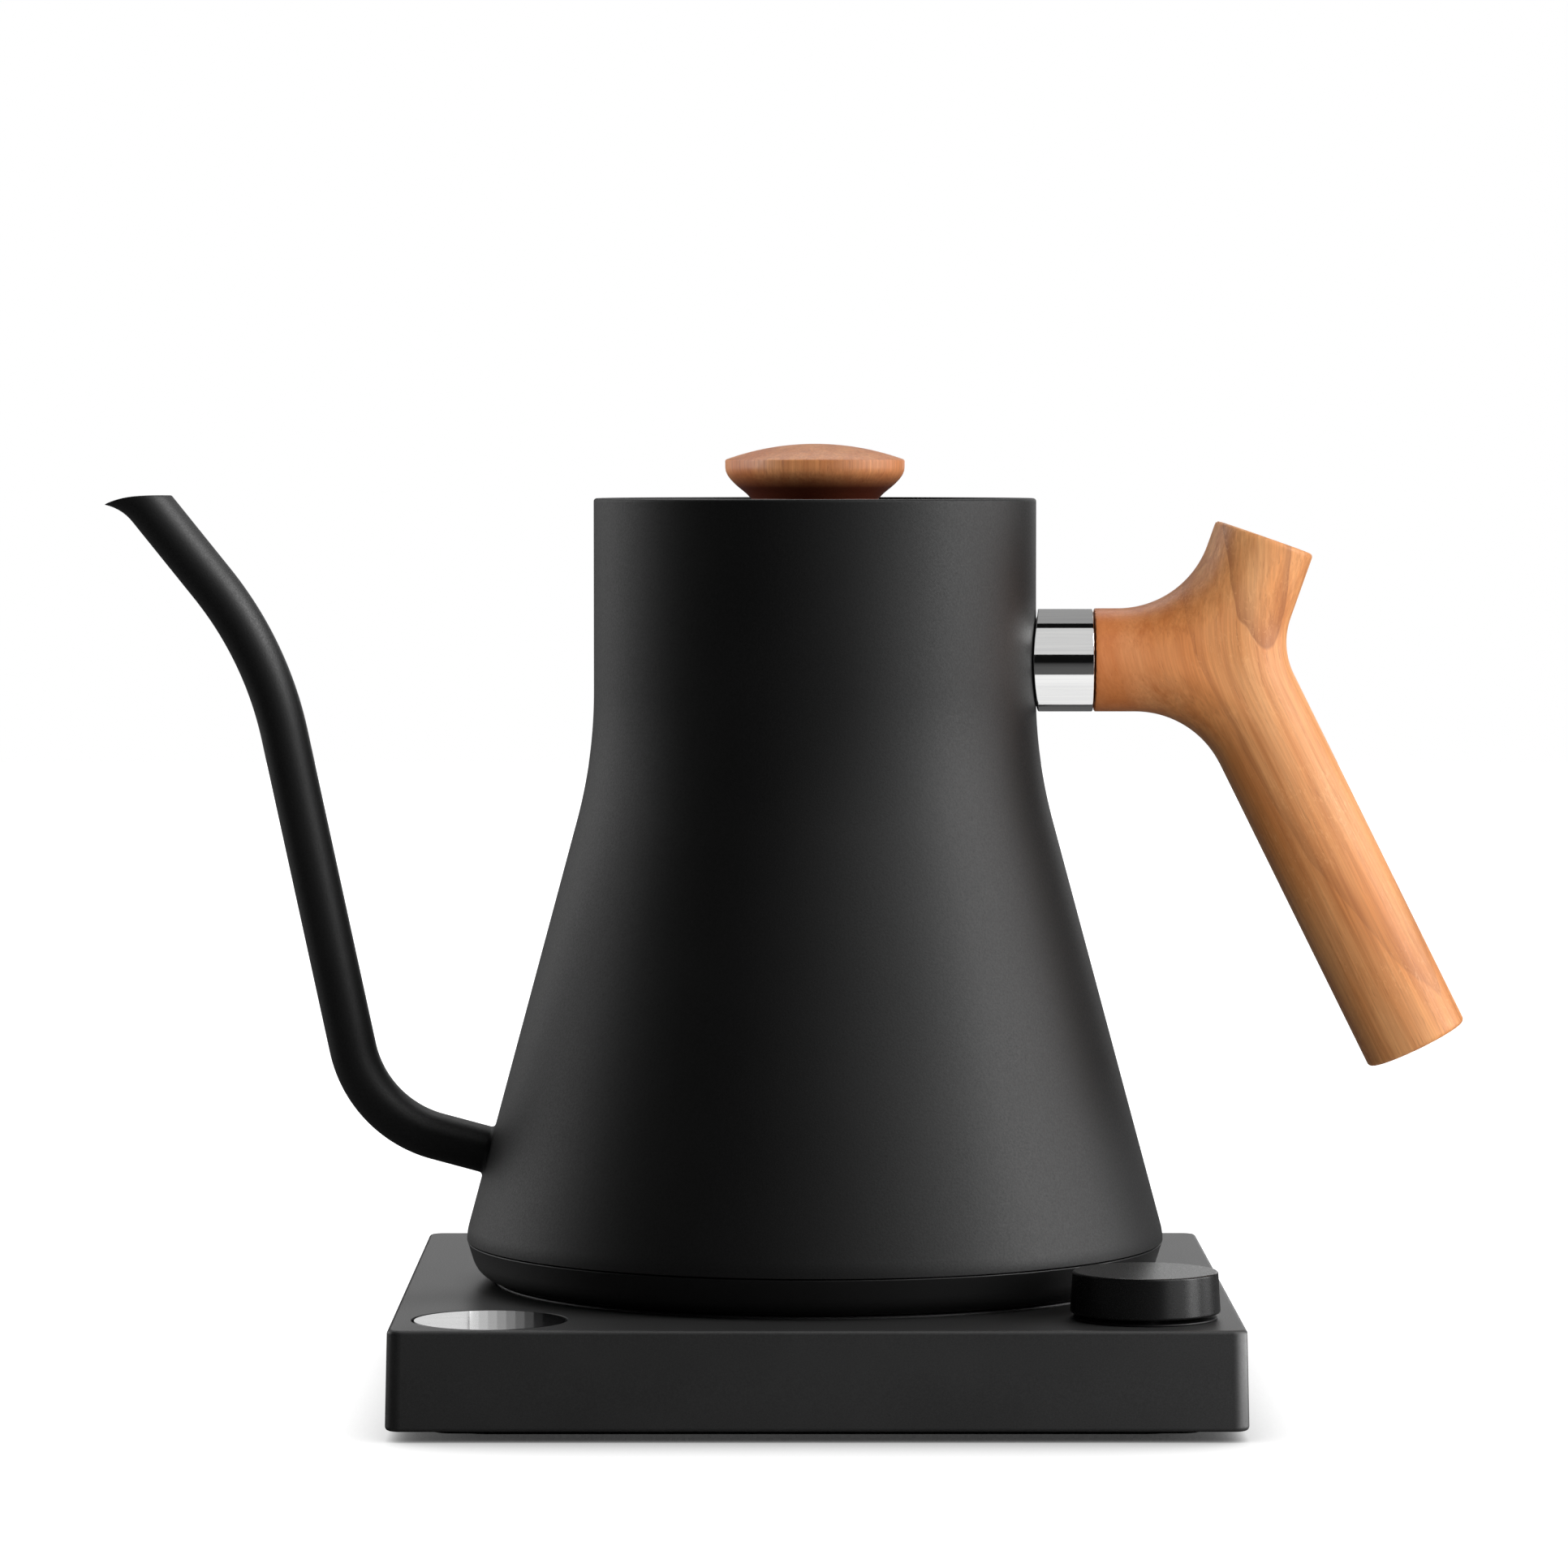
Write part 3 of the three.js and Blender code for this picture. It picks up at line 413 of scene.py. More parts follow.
def drawn_metal(name, colour, roughness, stretch, depth_mm):
    """Metal with fine tool lines. They run where the stretch is small."""
    graph = Graph(name)
    lines = graph.noise(graph.place, stretch, 3, 0.6)
    smears = graph.noise(graph.place, 1 / (9 * MM), 3, 0.6)
    tone = graph.blend(graph.spread(lines, 0.3, 0.7), tuple(c * 0.88 for c in colour), colour)
    gloss = graph.math("ADD", graph.spread(lines, 0.3, 0.7, roughness * 0.7, roughness * 1.3),
                       graph.spread(smears, 0.4, 0.7, 0, roughness * 0.3))
    return graph.finish(tone, gloss, Normal=graph.bump(lines, depth_mm), Metallic=1.0)


def polished_steel():
    """Mirror-bright steel, with faint polishing lines along X and a slight haze."""
    graph = Graph("polished_steel")
    lines = graph.noise(graph.place, (25, 1500, 1500), 3, 0.6)
    haze = graph.noise(graph.place, 1 / (5 * MM), 3, 0.6)
    tone = graph.blend(graph.spread(lines, 0.35, 0.65), (0.80, 0.80, 0.80), (0.88, 0.88, 0.87))
    gloss = graph.spread(haze, 0.35, 0.7, 0.03, 0.075)
    return graph.finish(tone, gloss, Normal=graph.bump(lines, 0.0012), Metallic=1.0)


def lens_glass():
    """Smoked glass, mirror-smooth, with a trace of dust and wiping haze."""
    graph = Graph("display_lens")
    dust = graph.spread(graph.noise(graph.place, 1 / (0.35 * MM), 2, 0.5), 0.66, 0.74)
    haze = graph.noise(graph.place, (90, 300, 300), 3, 0.6)
    tone = graph.blend(dust, (0.006, 0.006, 0.007), (0.014, 0.014, 0.015))
    return graph.finish(tone, graph.spread(haze, 0.35, 0.7, 0.14, 0.20), IOR=1.52, Specular_IOR_Level=0.5,
                        Coat_Weight=1.0, Coat_Roughness=0.13, Coat_IOR=1.9)


def circuit_board_finish():
    """Green solder mask over a grid of copper tracks."""
    graph = Graph("circuit_board")
    grid = graph.stretched(graph.place, (220, 220, 220))
    cells = graph.node("TexBrick", {"Vector": grid, "Mortar Size": 0.03}, offset=0.5, squash=1.0)
    tracks = graph.math("SUBTRACT", 1, cells.outputs["Fac"])
    cloud = graph.noise(graph.place, 1 / (4 * MM), 2, 0.5)
    mask = graph.blend(cloud, (0.006, 0.06, 0.022), (0.012, 0.10, 0.035))
    tone = graph.blend(tracks, (0.02, 0.17, 0.06), mask)
    return graph.finish(tone, graph.spread(cloud, 0.3, 0.7, 0.3, 0.45), Normal=graph.bump(tracks, 0.03))


def cherry(name, colours, tip, lean, shell_mm, shell_top, period, vein, streak, painted_shade):
    """Oiled cherry: growth rings, fibres and pores along the grain, and pale ray flecks with painted glints.

    The rings are long nested shells. Their axis runs straight up from tip (mm) and leans below it,
    and the grain follows that axis. shell_mm is the size of the first shell, and shell_top the
    height where it is widest. The last argument says where shade is painted in, darker, in the last
    colour: the axis, the place where it is darkest, the place where it ends (mm), and how much. The
    scales of the noises are in cycles per metre, across and along the grain.
    """
    graph = Graph(name)
    pale, middle, deep, line, shade_tone = colours
    x, y, z = graph.node("SeparateXYZ", [graph.place]).outputs
    below = graph.math("SMOOTH_MAX", graph.math("SUBTRACT", tip[2] * MM, z), 0.0, 12 * MM)
    across = graph.math("SUBTRACT", graph.math("SUBTRACT", x, tip[0] * MM),
                        graph.math("MULTIPLY", below, tan(lean)))
    grain = graph.combined(across, graph.math("SUBTRACT", y, tip[1] * MM),
                           graph.math("SUBTRACT", z, shell_top * MM))

    wander = graph.noise(grain, (50, 50, 16), 3, 0.55, output="Color")
    drift = graph.vector("MULTIPLY", graph.vector("SUBTRACT", wander, (0.5, 0.5, 0.5)), (0.011, 0.009, 0.03))
    shells = graph.vector("DIVIDE", graph.vector("ADD", grain, drift), tuple(size * MM for size in shell_mm))
    ring = graph.math("DIVIDE", graph.vector("LENGTH", shells), period)
    phase = graph.math("FRACT", graph.math("SUBTRACT", ring, 1 / period))
    late = graph.math("MULTIPLY", graph.spread(phase, 0.80, 0.985), graph.spread(phase, 0.985, 1.0, 1, 0))
    late = graph.math("MULTIPLY", late, graph.spread(ring, 0.9, 2.6, 1, 0.12))
    early = graph.spread(phase, 0.0, 0.5, 1, 0)

    fibre = graph.noise(grain, (380, 380, 13), 4, 0.62, 0.5)
    hair = graph.noise(grain, (1700, 1700, 60), 3, 0.6, 0.3)
    pore = graph.noise(grain, (2800, 2800, 210), 1, 0.5)
    fleck = graph.noise(grain, (1300, 1300, 520), 2, 0.55, 1.4)
    cloud = graph.noise(grain, (70, 70, 22), 3, 0.55, 0.4)
    patches = graph.spread(graph.noise(graph.place, 1 / (14 * MM), 2, 0.5), 0.42, 0.62)
    # Pale ray flecks: partly the wood's own figure, partly a painted highlight where the wood shines.
    glints = graph.math("MULTIPLY", graph.spread(fleck, 0.55, 0.68, 0, streak / 2), patches)
    axis, darkest, end, amount = painted_shade

    tone = graph.blend(graph.spread(cloud, 0.34, 0.68), middle, pale)
    for share, colour in (
        (graph.math("MULTIPLY", early, 0.35), middle),
        (graph.spread(fibre, 0.42, 0.72, 0, streak), deep),
        (graph.math("MULTIPLY", late, vein), line),
        (graph.spread(hair, 0.35, 0.7, 0.30, 0), line),
        (graph.spread(pore, 0.66, 0.74, 0, 0.3), line),
        (glints, pale),
        # Painted shade, in the last colour, darker towards one end along an axis.
        (graph.spread((x, y, z)[axis], darkest * MM, end * MM, amount, 0), shade_tone),
    ):
        tone = graph.blend(share, tone, colour)

    height = graph.math("SUBTRACT", graph.math("MULTIPLY", hair, 0.6), graph.spread(pore, 0.66, 0.74))
    height = graph.math("ADD", height, graph.math("MULTIPLY", fleck, 0.8))
    return graph.finish(tone, graph.spread(fleck, 0.35, 0.7, 0.50, 0.38), Normal=graph.bump(height, 0.010))


# name, colour, roughness, grain (mm), depth of the grain (mm), contrast
POWDER_COAT = grained("powder_coat", (0.009, 0.009, 0.0092), 0.52, 0.42, 0.016, 0.35)
BASE_PLASTIC = grained("base_plastic", (0.024, 0.024, 0.0242), 0.42, 0.30, 0.006, 0.22)
DIAL_COAT = grained("dial_coat", (0.010, 0.010, 0.0102), 0.30, 0.30, 0.004, 0.25)
DARK_PLASTIC = grained("dark_plastic", (0.008, 0.008, 0.0082), 0.42, 0.25, 0.005, 0.25)
RUBBER = grained("rubber", (0.010, 0.010, 0.010), 0.80, 0.55, 0.03, 0.3)
SILICONE = grained("silicone", (0.022, 0.022, 0.024), 0.62, 0.35, 0.004, 0.2)
COMPONENT = grained("component", (0.014, 0.014, 0.015), 0.5, 0.28, 0.01, 0.3)
# name, colour, roughness, lines per metre along X, Y and Z, depth of the lines (mm)
BRUSHED_STEEL = drawn_metal("brushed_steel", (0.62, 0.62, 0.62), 0.30, (60, 60, 2600), 0.003)
ALUMINIUM = drawn_metal("aluminium", (0.70, 0.70, 0.71), 0.42, (900, 900, 900), 0.008)
BRASS = drawn_metal("brass", (0.72, 0.50, 0.20), 0.26, (90, 90, 2400), 0.002)
SCREW_STEEL = drawn_metal("screw_steel", (0.50, 0.50, 0.51), 0.32, (1800, 1800, 60), 0.003)
STEEL = polished_steel()
LENS_GLASS = lens_glass()
CIRCUIT_BOARD = circuit_board_finish()
# The last colour and the last tuple paint shade on the arm beside the ferrule: darkest at the ferrule, gone
# 28 mm out.
CHERRY = cherry(
    "cherry_wood",
    ((0.88, 0.45, 0.19), (0.78, 0.31, 0.094), (0.52, 0.165, 0.042), (0.27, 0.08, 0.024),
     (0.60, 0.155, 0.032)),
    (95.2, -8, 156), GRIP_LEAN, (7.5, 12, 60), 216, 1.2, 0.6, 0.75, (0, FERRULE_END, FERRULE_END + 28, 0.7))
# The last colour and the last tuple paint near-black shade under the knob's band, in to its neck.
KNOB_WOOD = cherry(
    "knob_wood",
    ((0.78, 0.34, 0.13), (0.60, 0.20, 0.062), (0.36, 0.085, 0.024), (0.15, 0.028, 0.010),
     (0.07, 0.008, 0.003)),
    (26, -22, 100), 0.0, (5, 5, 90), 196, 0.9, 0.45, 0.4, (2, KNOB_TOP - 9.4, KNOB_TOP - 5.8, 0.95))


# -------- small shared shapes

def turned_piece(name, body, material, slot, node, corners, segments, place=(0, 0, 0), turn=None):
    """A whole piece, turned from the corners of its profile."""
    finish_piece(lathe(name, profile_of(corners), segments, place, turn), body, material, slot, node)


def ring_piece(name, body, material, slot, node, inner, outer, edge=0.2, segments=96, place=(0, 0, 0)):
    """A flat ring with rounded edges, as high as its CAD node."""
    bottom, top = heights(node)
    corners = [(inner, bottom, edge), (outer, bottom, edge), (outer, top, edge), (inner, top, edge)]
    ring = lathe(name, profile_of(corners, steps=3), segments, place)
    finish_piece(ring, body, material, slot, node)


def screw(name, node, head_radius, head_height, shank_radius, body):
    """A pan-head screw, head down, with a cross recess, where its CAD node stands."""
    x, y, _ = place = foot_of(node)
    bottom, top = heights(node)
    head_top = bottom + head_height
    obj = lathe(name, profile_of([
        (0, bottom), (head_radius, bottom, head_height * 0.6), (head_radius, head_top, 0.1),
        (shank_radius, head_top), (shank_radius, top - shank_radius), (0, top)]), 40, place)
    reach, half = head_radius * 0.62, 0.42
    depth = bottom + head_height * 0.55
    cut(obj, *(rounded_box("slot", (x - a, y - b, bottom - 1), (x + a, y + b, depth), 0.08, 1)
               for a, b in ((reach, half), (half, reach))))
    finish_piece(obj, body, SCREW_STEEL, "brushed_steel", node)


def quarter_round(radius, steps=6):
    """How far in and how far up a rounded bottom edge is, from its flat to its side."""
    angles = [QUARTER * i / steps for i in range(steps + 1)]
    return [(radius * (1 - sin(a)), radius * (1 - cos(a))) for a in angles]


def numbered_places(prefix, count):
    """The feet of a set of numbered nodes."""
    return [foot_of(f"{prefix}_{i + 1}") for i in range(count)]


# -------- base

def base_casing():
    """The square casing, with its hollow, its openings and the bosses for its screws."""
    edge, draft, corner, wall, roof = 0.9, 0.45, 3.2, 2.6, 2.5
    height = BASE_TOP - BASE_BOTTOM
    ceiling = BASE_TOP - roof

    def loop_at(z, inset):
        return square_loop(BASE_HALF - draft * (z - BASE_BOTTOM) / height - inset, corner - inset, z)

    loops = [loop_at(BASE_BOTTOM + up, inset) for inset, up in quarter_round(edge)]
    loops += [loop_at(BASE_TOP - up, inset) for inset, up in reversed(quarter_round(edge))]
    casing = loft("base_casing", loops)
    over, under = BASE_TOP + 10, ceiling - 5
    slot_start, slot_half = low("hold_slider")[0] - 0.5, 2.8
    slot_z = centre("hold_slider")[2]
    cut(casing,
        loft("cavity", [square_loop(BASE_HALF - wall, 2.0, z) for z in (BASE_BOTTOM - 2, ceiling)]),
        cylinder(DOCK_RADIUS + 0.35, DOCK_TOP - 1.7, over, flare=0.22, segments=160),
        cylinder(22, under, over + 10),
        cylinder(LENS_RADIUS + 0.38, BASE_TOP - 1.6, over, DISPLAY, flare=0.14),
        cylinder(12, under, over + 10, DISPLAY),
        cylinder(4.2, under, over + 10, DIAL),
        cylinder(5.3, -12, 12, (GLAND[0], BASE_HALF, GLAND[2]), Matrix.Rotation(QUARTER, 3, "X")),
        rounded_box("slot", (slot_start, BASE_HALF - 8, slot_z - slot_half),
                    (slot_start + 14, BASE_HALF + 8, slot_z + slot_half), 0.8))
    bore, boss, foot, top = 1.5, 4.3, 6, ceiling + 1
    profile = profile_of([(bore, foot), (boss, foot, 0.4), (boss, top), (bore, top)])
    join(casing, *(lathe("boss", profile, 32, place) for place in numbered_places("base_screw", 4)))
    finish_piece(casing, "base", BASE_PLASTIC, "base_plastic", "base_shell")


def base_underside():
    """The cover that closes the base: a flange inside the casing and a plinth below it."""
    half, bottom = high("base_bottom_cover")[0], low("base_bottom_cover")[2]
    flange_bottom, flange_top, roll, corner = 2.6, 5.2, 1.5, 5
    loops = [square_loop(PLINTH_HALF - inset, corner - inset, bottom + up)
             for inset, up in quarter_round(roll)]
    loops += [square_loop(PLINTH_HALF, corner, flange_bottom)]
    loops += [square_loop(half, 2, z) for z in (flange_bottom, flange_top)]
    cover = loft("bottom_cover", loops)
    pad_half = high("foot_pad")[0] + 0.2
    pocket = loft("pocket", [square_loop(pad_half, 8, z) for z in (bottom - 1, bottom + 0.9)])
    shank, head = (1.6, 18), (2.95, flange_bottom + 1.5)
    cut(cover, pocket, *(cylinder(radius, 1, top, place, segments=32)
                         for place in numbered_places("base_screw", 4) for radius, top in (shank, head)))
    inset, post, foot = 4, 2.6, 4
    posts = []
    for board in ("power_board", "control_board"):
        lower, upper = low(board), high(board)
        top = lower[2] - 0.1
        profile = profile_of([(0, foot), (post, foot), (post, top, 0.3), (0, top)])
        posts += [lathe("post", profile, 32, (x, y, 0)) for x in (lower[0] + inset, upper[0] - inset)
                  for y in (lower[1] + inset, upper[1] - inset)]
    join(cover, *posts)
    finish_piece(cover, "base", DARK_PLASTIC, "dark_plastic", "base_bottom_cover")


def rubber_foot():
    half, _, top = high("foot_pad")
    roll = 0.3
    sections = ((roll, 7.5, 0), (0.09, 7.7, 0.09), (0, 7.8, roll), (0, 7.8, top))
    pad = loft("foot_pad_piece", [square_loop(half - inset, corner, z) for inset, corner, z in sections])
    finish_piece(pad, "base", RUBBER, "rubber", "foot_pad")


def dock():
    hole, bottom = 19.4, low("dock_plate")[2]
    turned_piece("dock_disc", "base", BASE_PLASTIC, "base_plastic", "dock_plate",
                 [(hole, bottom), (DOCK_RADIUS, bottom), (DOCK_RADIUS, DOCK_TOP, 0.3),
                  (hole, DOCK_TOP, 0.4)], 192)


def base_connector():
    node = "base_connector_housing"
    flange, (bottom, top) = high(node)[0], heights(node)
    plug, moat_outer, moat_inner, moat_floor, well, well_floor = 19, 12.4, 8, 23, 4.6, 22
    shoulder = BASE_TOP - 2.6
    turned_piece("connector_plug", "base", DARK_PLASTIC, "dark_plastic", node,
                 [(0, bottom), (flange, bottom), (flange, shoulder), (plug, shoulder), (plug, top, 1.0),
                  (moat_outer, top, 0.5), (moat_outer, moat_floor, 0.4), (moat_inner, moat_floor, 0.4),
                  (moat_inner, top, 0.5), (well, top, 0.5), (well, well_floor, 0.4), (0, well_floor)], 128)
    pin, (bottom, top) = 2.2, heights("base_connector_pin")
    turned_piece("connector_pin", "base", BRASS, "brass", "base_connector_pin",
                 [(0, bottom), (pin, bottom), (pin, top, 1.4), (0, top)], 64)
    ring_piece("connector_ring", "base", BRASS, "brass", "base_contact_ring", 8.15, 9)


def kettle_connector():
    node = "kettle_connector_housing"
    outer, (bottom, top) = high(node)[0], heights(node)
    inner, ceiling = 19.9, top - 2.5
    turned_piece("connector_socket_housing", "coupler", DARK_PLASTIC, "dark_plastic", node,
                 [(0, ceiling), (inner, ceiling, 0.6), (inner, bottom, 0.5), (outer, bottom, 0.5),
                  (outer, top, 0.4), (0, top)], 128)
    ring_piece("connector_socket", "coupler", BRASS, "brass", "kettle_connector_socket", 2.7, 3.8, 0.25)
    ring_piece("connector_collector", "coupler", BRASS, "brass", "kettle_contact_ring", 10.2, 11.2, 0.25)


def display():
    bottom, top = heights("display_lens")
    turned_piece("display_window", "base", LENS_GLASS, "display_lens", "display_lens",
                 [(0, bottom), (LENS_RADIUS, bottom), (LENS_RADIUS, top, 0.22), (0, top)], 128, DISPLAY)


def dial():
    bottom, top = heights("dial_knob")
    outer, wall, edge = half_width("dial_knob"), 1.6, 0.5
    turned_piece("dial_cap", "dial", DIAL_COAT, "powder_coat", "dial_knob",
                 [(0, top - wall), (outer - wall, top - wall, 0.5), (outer - wall, bottom, 0.3),
                  (outer, bottom, edge), (outer - 0.53, top, edge), (0, top)], 160, DIAL)
    ring_piece("dial_seat", "base", DARK_PLASTIC, "dark_plastic", "dial_collar", 4.5, 14.8, 0.15, 128, DIAL)


def rear_fittings():
    """The cord gland and the slide switch on the back of the base."""
    start, end, face = low("cord_gland")[1], high("cord_gland")[1], BASE_HALF - 2.8
    bore, flange, neck = 3.3, 6.2, 5.1
    turned_piece("cord_bushing", "base", DARK_PLASTIC, "dark_plastic", "cord_gland",
                 [(bore, start, 0.3), (flange, start), (flange, face), (neck, face), (neck, end, 0.8),
                  (bore, end, 0.5)], 96, (GLAND[0], 0, GLAND[2]), Matrix.Rotation(-QUARTER, 3, "X"))
    lower, upper = low("hold_slider"), high("hold_slider")
    tab = rounded_box("hold_button", lower, upper, 0.35)
    pitch, groove, depth = 1.6, 0.7, 0.4
    starts = [lower[0] + pitch * (i + 1) for i in range(3)]
    cut(tab, *(rounded_box("groove", (x, upper[1] - depth, lower[2] - 1),
                           (x + groove, upper[1] + 1, upper[2] + 1), 0.1, 1) for x in starts))
    finish_piece(tab, "hold_switch", DARK_PLASTIC, "dark_plastic", "hold_slider")


# -------- vessel

def vessel():
    bore = RIM_RADIUS - VESSEL_WALL
    inside, outside = vessel_line(VESSEL_WALL)[::-1], vessel_line(0)
    lip = rounded([inside[-1], (bore, RIM_Z, 0.25), (RIM_RADIUS, RIM_Z, 0.7), outside[0]])[1:-1]
    shell = lathe("vessel", outside + inside + lip, 256)
    x, z = spout_root()
    square_to_cone = Matrix.Rotation(CONE_ANGLE - QUARTER, 3, "Y")
    cut(shell, cylinder(SPOUT_RADIUS + 0.02, -12, 30, (x, 0, z), square_to_cone))
    finish_piece(shell, "kettle", POWDER_COAT, "powder_coat", "body_shell")


def vessel_inside():
    """The welded floor, the ring under the rim that the lid drops into, and the probe with its seal."""
    top = high("vessel_floor")[2]
    wall, skirt = VESSEL_WALL + 0.1, 3.6
    edge, foot = cone_radius(top, wall), cone_radius(top - skirt, wall)
    floor = lathe("vessel_floor_plate", profile_of([
        (0, top - 1), (edge - 1, top - 1, 1.2), (foot - 1, top - skirt), (foot, top - skirt),
        (edge, top, 0.8), (0, top)]), 160)
    probe = foot_of("temperature_probe")
    bore, boss, boss_foot, boss_top = 1.6, 3.2, 33, top - 0.5
    profile = profile_of([(bore, boss_foot), (boss, boss_foot, 0.3), (boss, boss_top), (bore, boss_top)])
    cut(floor, cylinder(3, 30, 60, probe))
    join(floor, *(lathe("boss", profile, 32, place) for place in numbered_places("underside_screw", 3)))
    finish_piece(floor, "kettle", BRUSHED_STEEL, "brushed_steel", "vessel_floor")
    outer = high("neck_ring")[0]
    ring_piece("rim_ring", "kettle", BRUSHED_STEEL, "brushed_steel", "neck_ring",
               outer - 1.4, outer, 0.4, 192)
    bottom, tip = heights("temperature_probe")
    turned_piece("probe_sheath", "kettle", BRUSHED_STEEL, "brushed_steel", "temperature_probe",
                 [(0, bottom), (2, bottom), (2, tip, 1.6), (0, tip)], 64, probe)
    turned_piece("probe_grommet", "kettle", SILICONE, "silicone", "probe_seal",
                 [(2.1, 40.3), (4.4, 40.3, 0.3), (4.4, 41.8, 0.3), (2.9, 41.9), (2.9, 43.1), (4.4, 43.2, 0.3),
                  (3.6, 44.6, 0.5), (2.1, 44.6, 0.2)], 64, probe)


def kettle_underside():
    """The dark cover under the vessel: in from the seam, then round to a flat that hovers over the dock."""
    lean, roll, wall, hole = radians(18), 6.1, 2.2, 24
    flat = low("kettle_bottom_cover")[2]
    top = SEAM_Z - 0.28
    arc_top = flat + roll * (1 - sin(lean))
    middle = (SEAM_RADIUS - (SEAM_Z - 0.1 - arc_top) * tan(lean) - roll * cos(lean), flat + roll)
    outside = arc(middle, roll, -QUARTER, -lean, 12)
    inside = arc(middle, roll - wall, -lean, -QUARTER, 8)
    spigot, spigot_top, spigot_wall = SEAM_RADIUS - VESSEL_WALL - 0.3, SEAM_Z + 2.5, 1.8
    collar = rounded([
        outside[-1], (SEAM_RADIUS - 0.08, top, 0.25), (spigot, top, 0.05), (spigot - 0.3, spigot_top, 0.2),
        (spigot - spigot_wall, spigot_top, 0.2), (spigot - spigot_wall, top), inside[0]])[1:-1]
    cover = lathe("underside_cover", outside + collar + inside + [(hole, flat + wall), (hole, flat)], 224)
    holes = []
    for place in numbered_places("underside_screw", 3):
        holes.append(cylinder(1.8, flat - 1, flat + 6, place, segments=32))
        holes.append(cylinder(3.2, flat - 1, flat + 1.2, place, segments=48))
    cut(cover, *holes)
    finish_piece(cover, "kettle", DARK_PLASTIC, "dark_plastic", "kettle_bottom_cover")


# -------- spout

def spout_root():
    """Where the spout's centreline leaves the cone, as (x, z)."""
    z = SEAM_Z + SPOUT_ROOT_ABOVE_SEAM
    return -cone_radius(z), z


def beside(point, direction, radius, angle):
    """A point on a tube's wall: angle 0 is on the left of its direction, in the XZ plane."""
    out = radius * cos(angle)
    return Vector((point.x - direction.y * out, radius * sin(angle), point.y + direction.x * out))


def spout():
    """A bent tube: square to the cone at its root, level at its mouth, with its outer lip turned out."""
    sides, bend_rows, neck_rows = 56, 56, 26
    weld, edge, buried = 0.8, 0.22, 1.2
    lip_out, lip_back = 0.047, 0.0117
    root = Vector(spout_root())
    outward = Vector((-cos(CONE_ANGLE), sin(CONE_ANGLE)))
    neck = Vector((-sin(SPOUT_NECK_ANGLE), cos(SPOUT_NECK_ANGLE)))
    across = Vector((-neck.y, neck.x))
    lower = root + outward * SPOUT_REACH
    upper = lower + Vector((-tan(SPOUT_RISER_ANGLE), 1)) * SPOUT_RISE
    mouth_z = RIM_Z + MOUTH_ABOVE_RIM
    line = rounded([root, (*lower, SPOUT_LOWER_BEND), (*upper, SPOUT_UPPER_BEND), upper + neck * 60],
                   steps=bend_rows)
    bends = [Vector(p) for p in line[1:-1]]
    straight = bends[-1]
    directions = [((b - a).normalized() + (c - b).normalized()).normalized()
                  for a, b, c in zip([root] + bends[:-1], bends, bends[1:] + [straight + neck])]
    tip = (mouth_z - straight.y - SPOUT_RADIUS * across.y) / neck.y

    def on_root(radius, angle, depth):
        """Where the side of the root meets a cone that lies a depth inside the vessel's outside."""
        s = 0.0
        for _ in range(8):
            p = beside(root + outward * s, outward, radius, angle)
            s += cone_radius(p.z, depth) - hypot(p.x, p.y)
        return beside(root + outward * s, outward, radius, angle)

    def on_neck(radius, angle, share, back=0.0):
        """A point on the neck, at a share of the way to the level mouth, bent out with the lip."""
        end = (mouth_z - straight.y - across.y * radius * cos(angle)) / neck.y
        s = end * share - back
        reach = max(0.0, s - (tip - LIP_LENGTH))
        outer = max(0.0, (radius * cos(angle) / SPOUT_RADIUS + 1) / 2)
        bend = outer ** 2 * reach ** 2
        p = beside(straight + neck * s, neck, radius, angle)
        shift = across * (lip_out * bend) - neck * (lip_back * bend)
        return p + Vector((shift.x, 0, shift.y))

    def wall(radius, angle, root_rows):
        points = [on_root(radius + grow, angle, depth) for depth, grow in root_rows]
        points += [beside(p, d, radius, angle) for p, d in zip(bends, directions)]
        return points + [on_neck(radius, angle, i / neck_rows) for i in range(1, neck_rows)]

    seat = [(t, weld - sqrt(weld ** 2 - (weld - t) ** 2)) for t in (0, 0.06, 0.2, 0.45, weld)]
    outer_rows = [(buried, 0), (0.05, 0), (0.05, weld)] + [(-t, grow) for t, grow in seat]
    lip = quarter_round(edge, 4)
    columns = []
    for k in range(sides):
        angle = TAU * k / sides
        column = wall(SPOUT_RADIUS, angle, outer_rows)
        column += [on_neck(SPOUT_RADIUS - up, angle, 1, back) for back, up in lip]
        column += [on_neck(SPOUT_BORE + inset, angle, 1, up) for inset, up in lip]
        column += wall(SPOUT_BORE, angle, [(buried, 0)])[::-1]
        columns.append(column)
    rows = len(columns[0])
    faces = []
    for k in range(sides):
        here, there = k * rows, (k + 1) % sides * rows
        for row in range(rows):
            after = (row + 1) % rows
            faces.append([here + row, here + after, there + after, there + row])
    tube = make_object("spout", [v for column in columns for v in column], faces, radians(40))
    finish_piece(tube, "kettle", POWDER_COAT, "powder_coat", "spout_tube")


# -------- handle

def meet(point_a, way_a, point_b, way_b):
    """Where two lines of the XZ plane cross."""
    return point_a + way_a * ((point_b - point_a).cross(way_b) / way_a.cross(way_b))


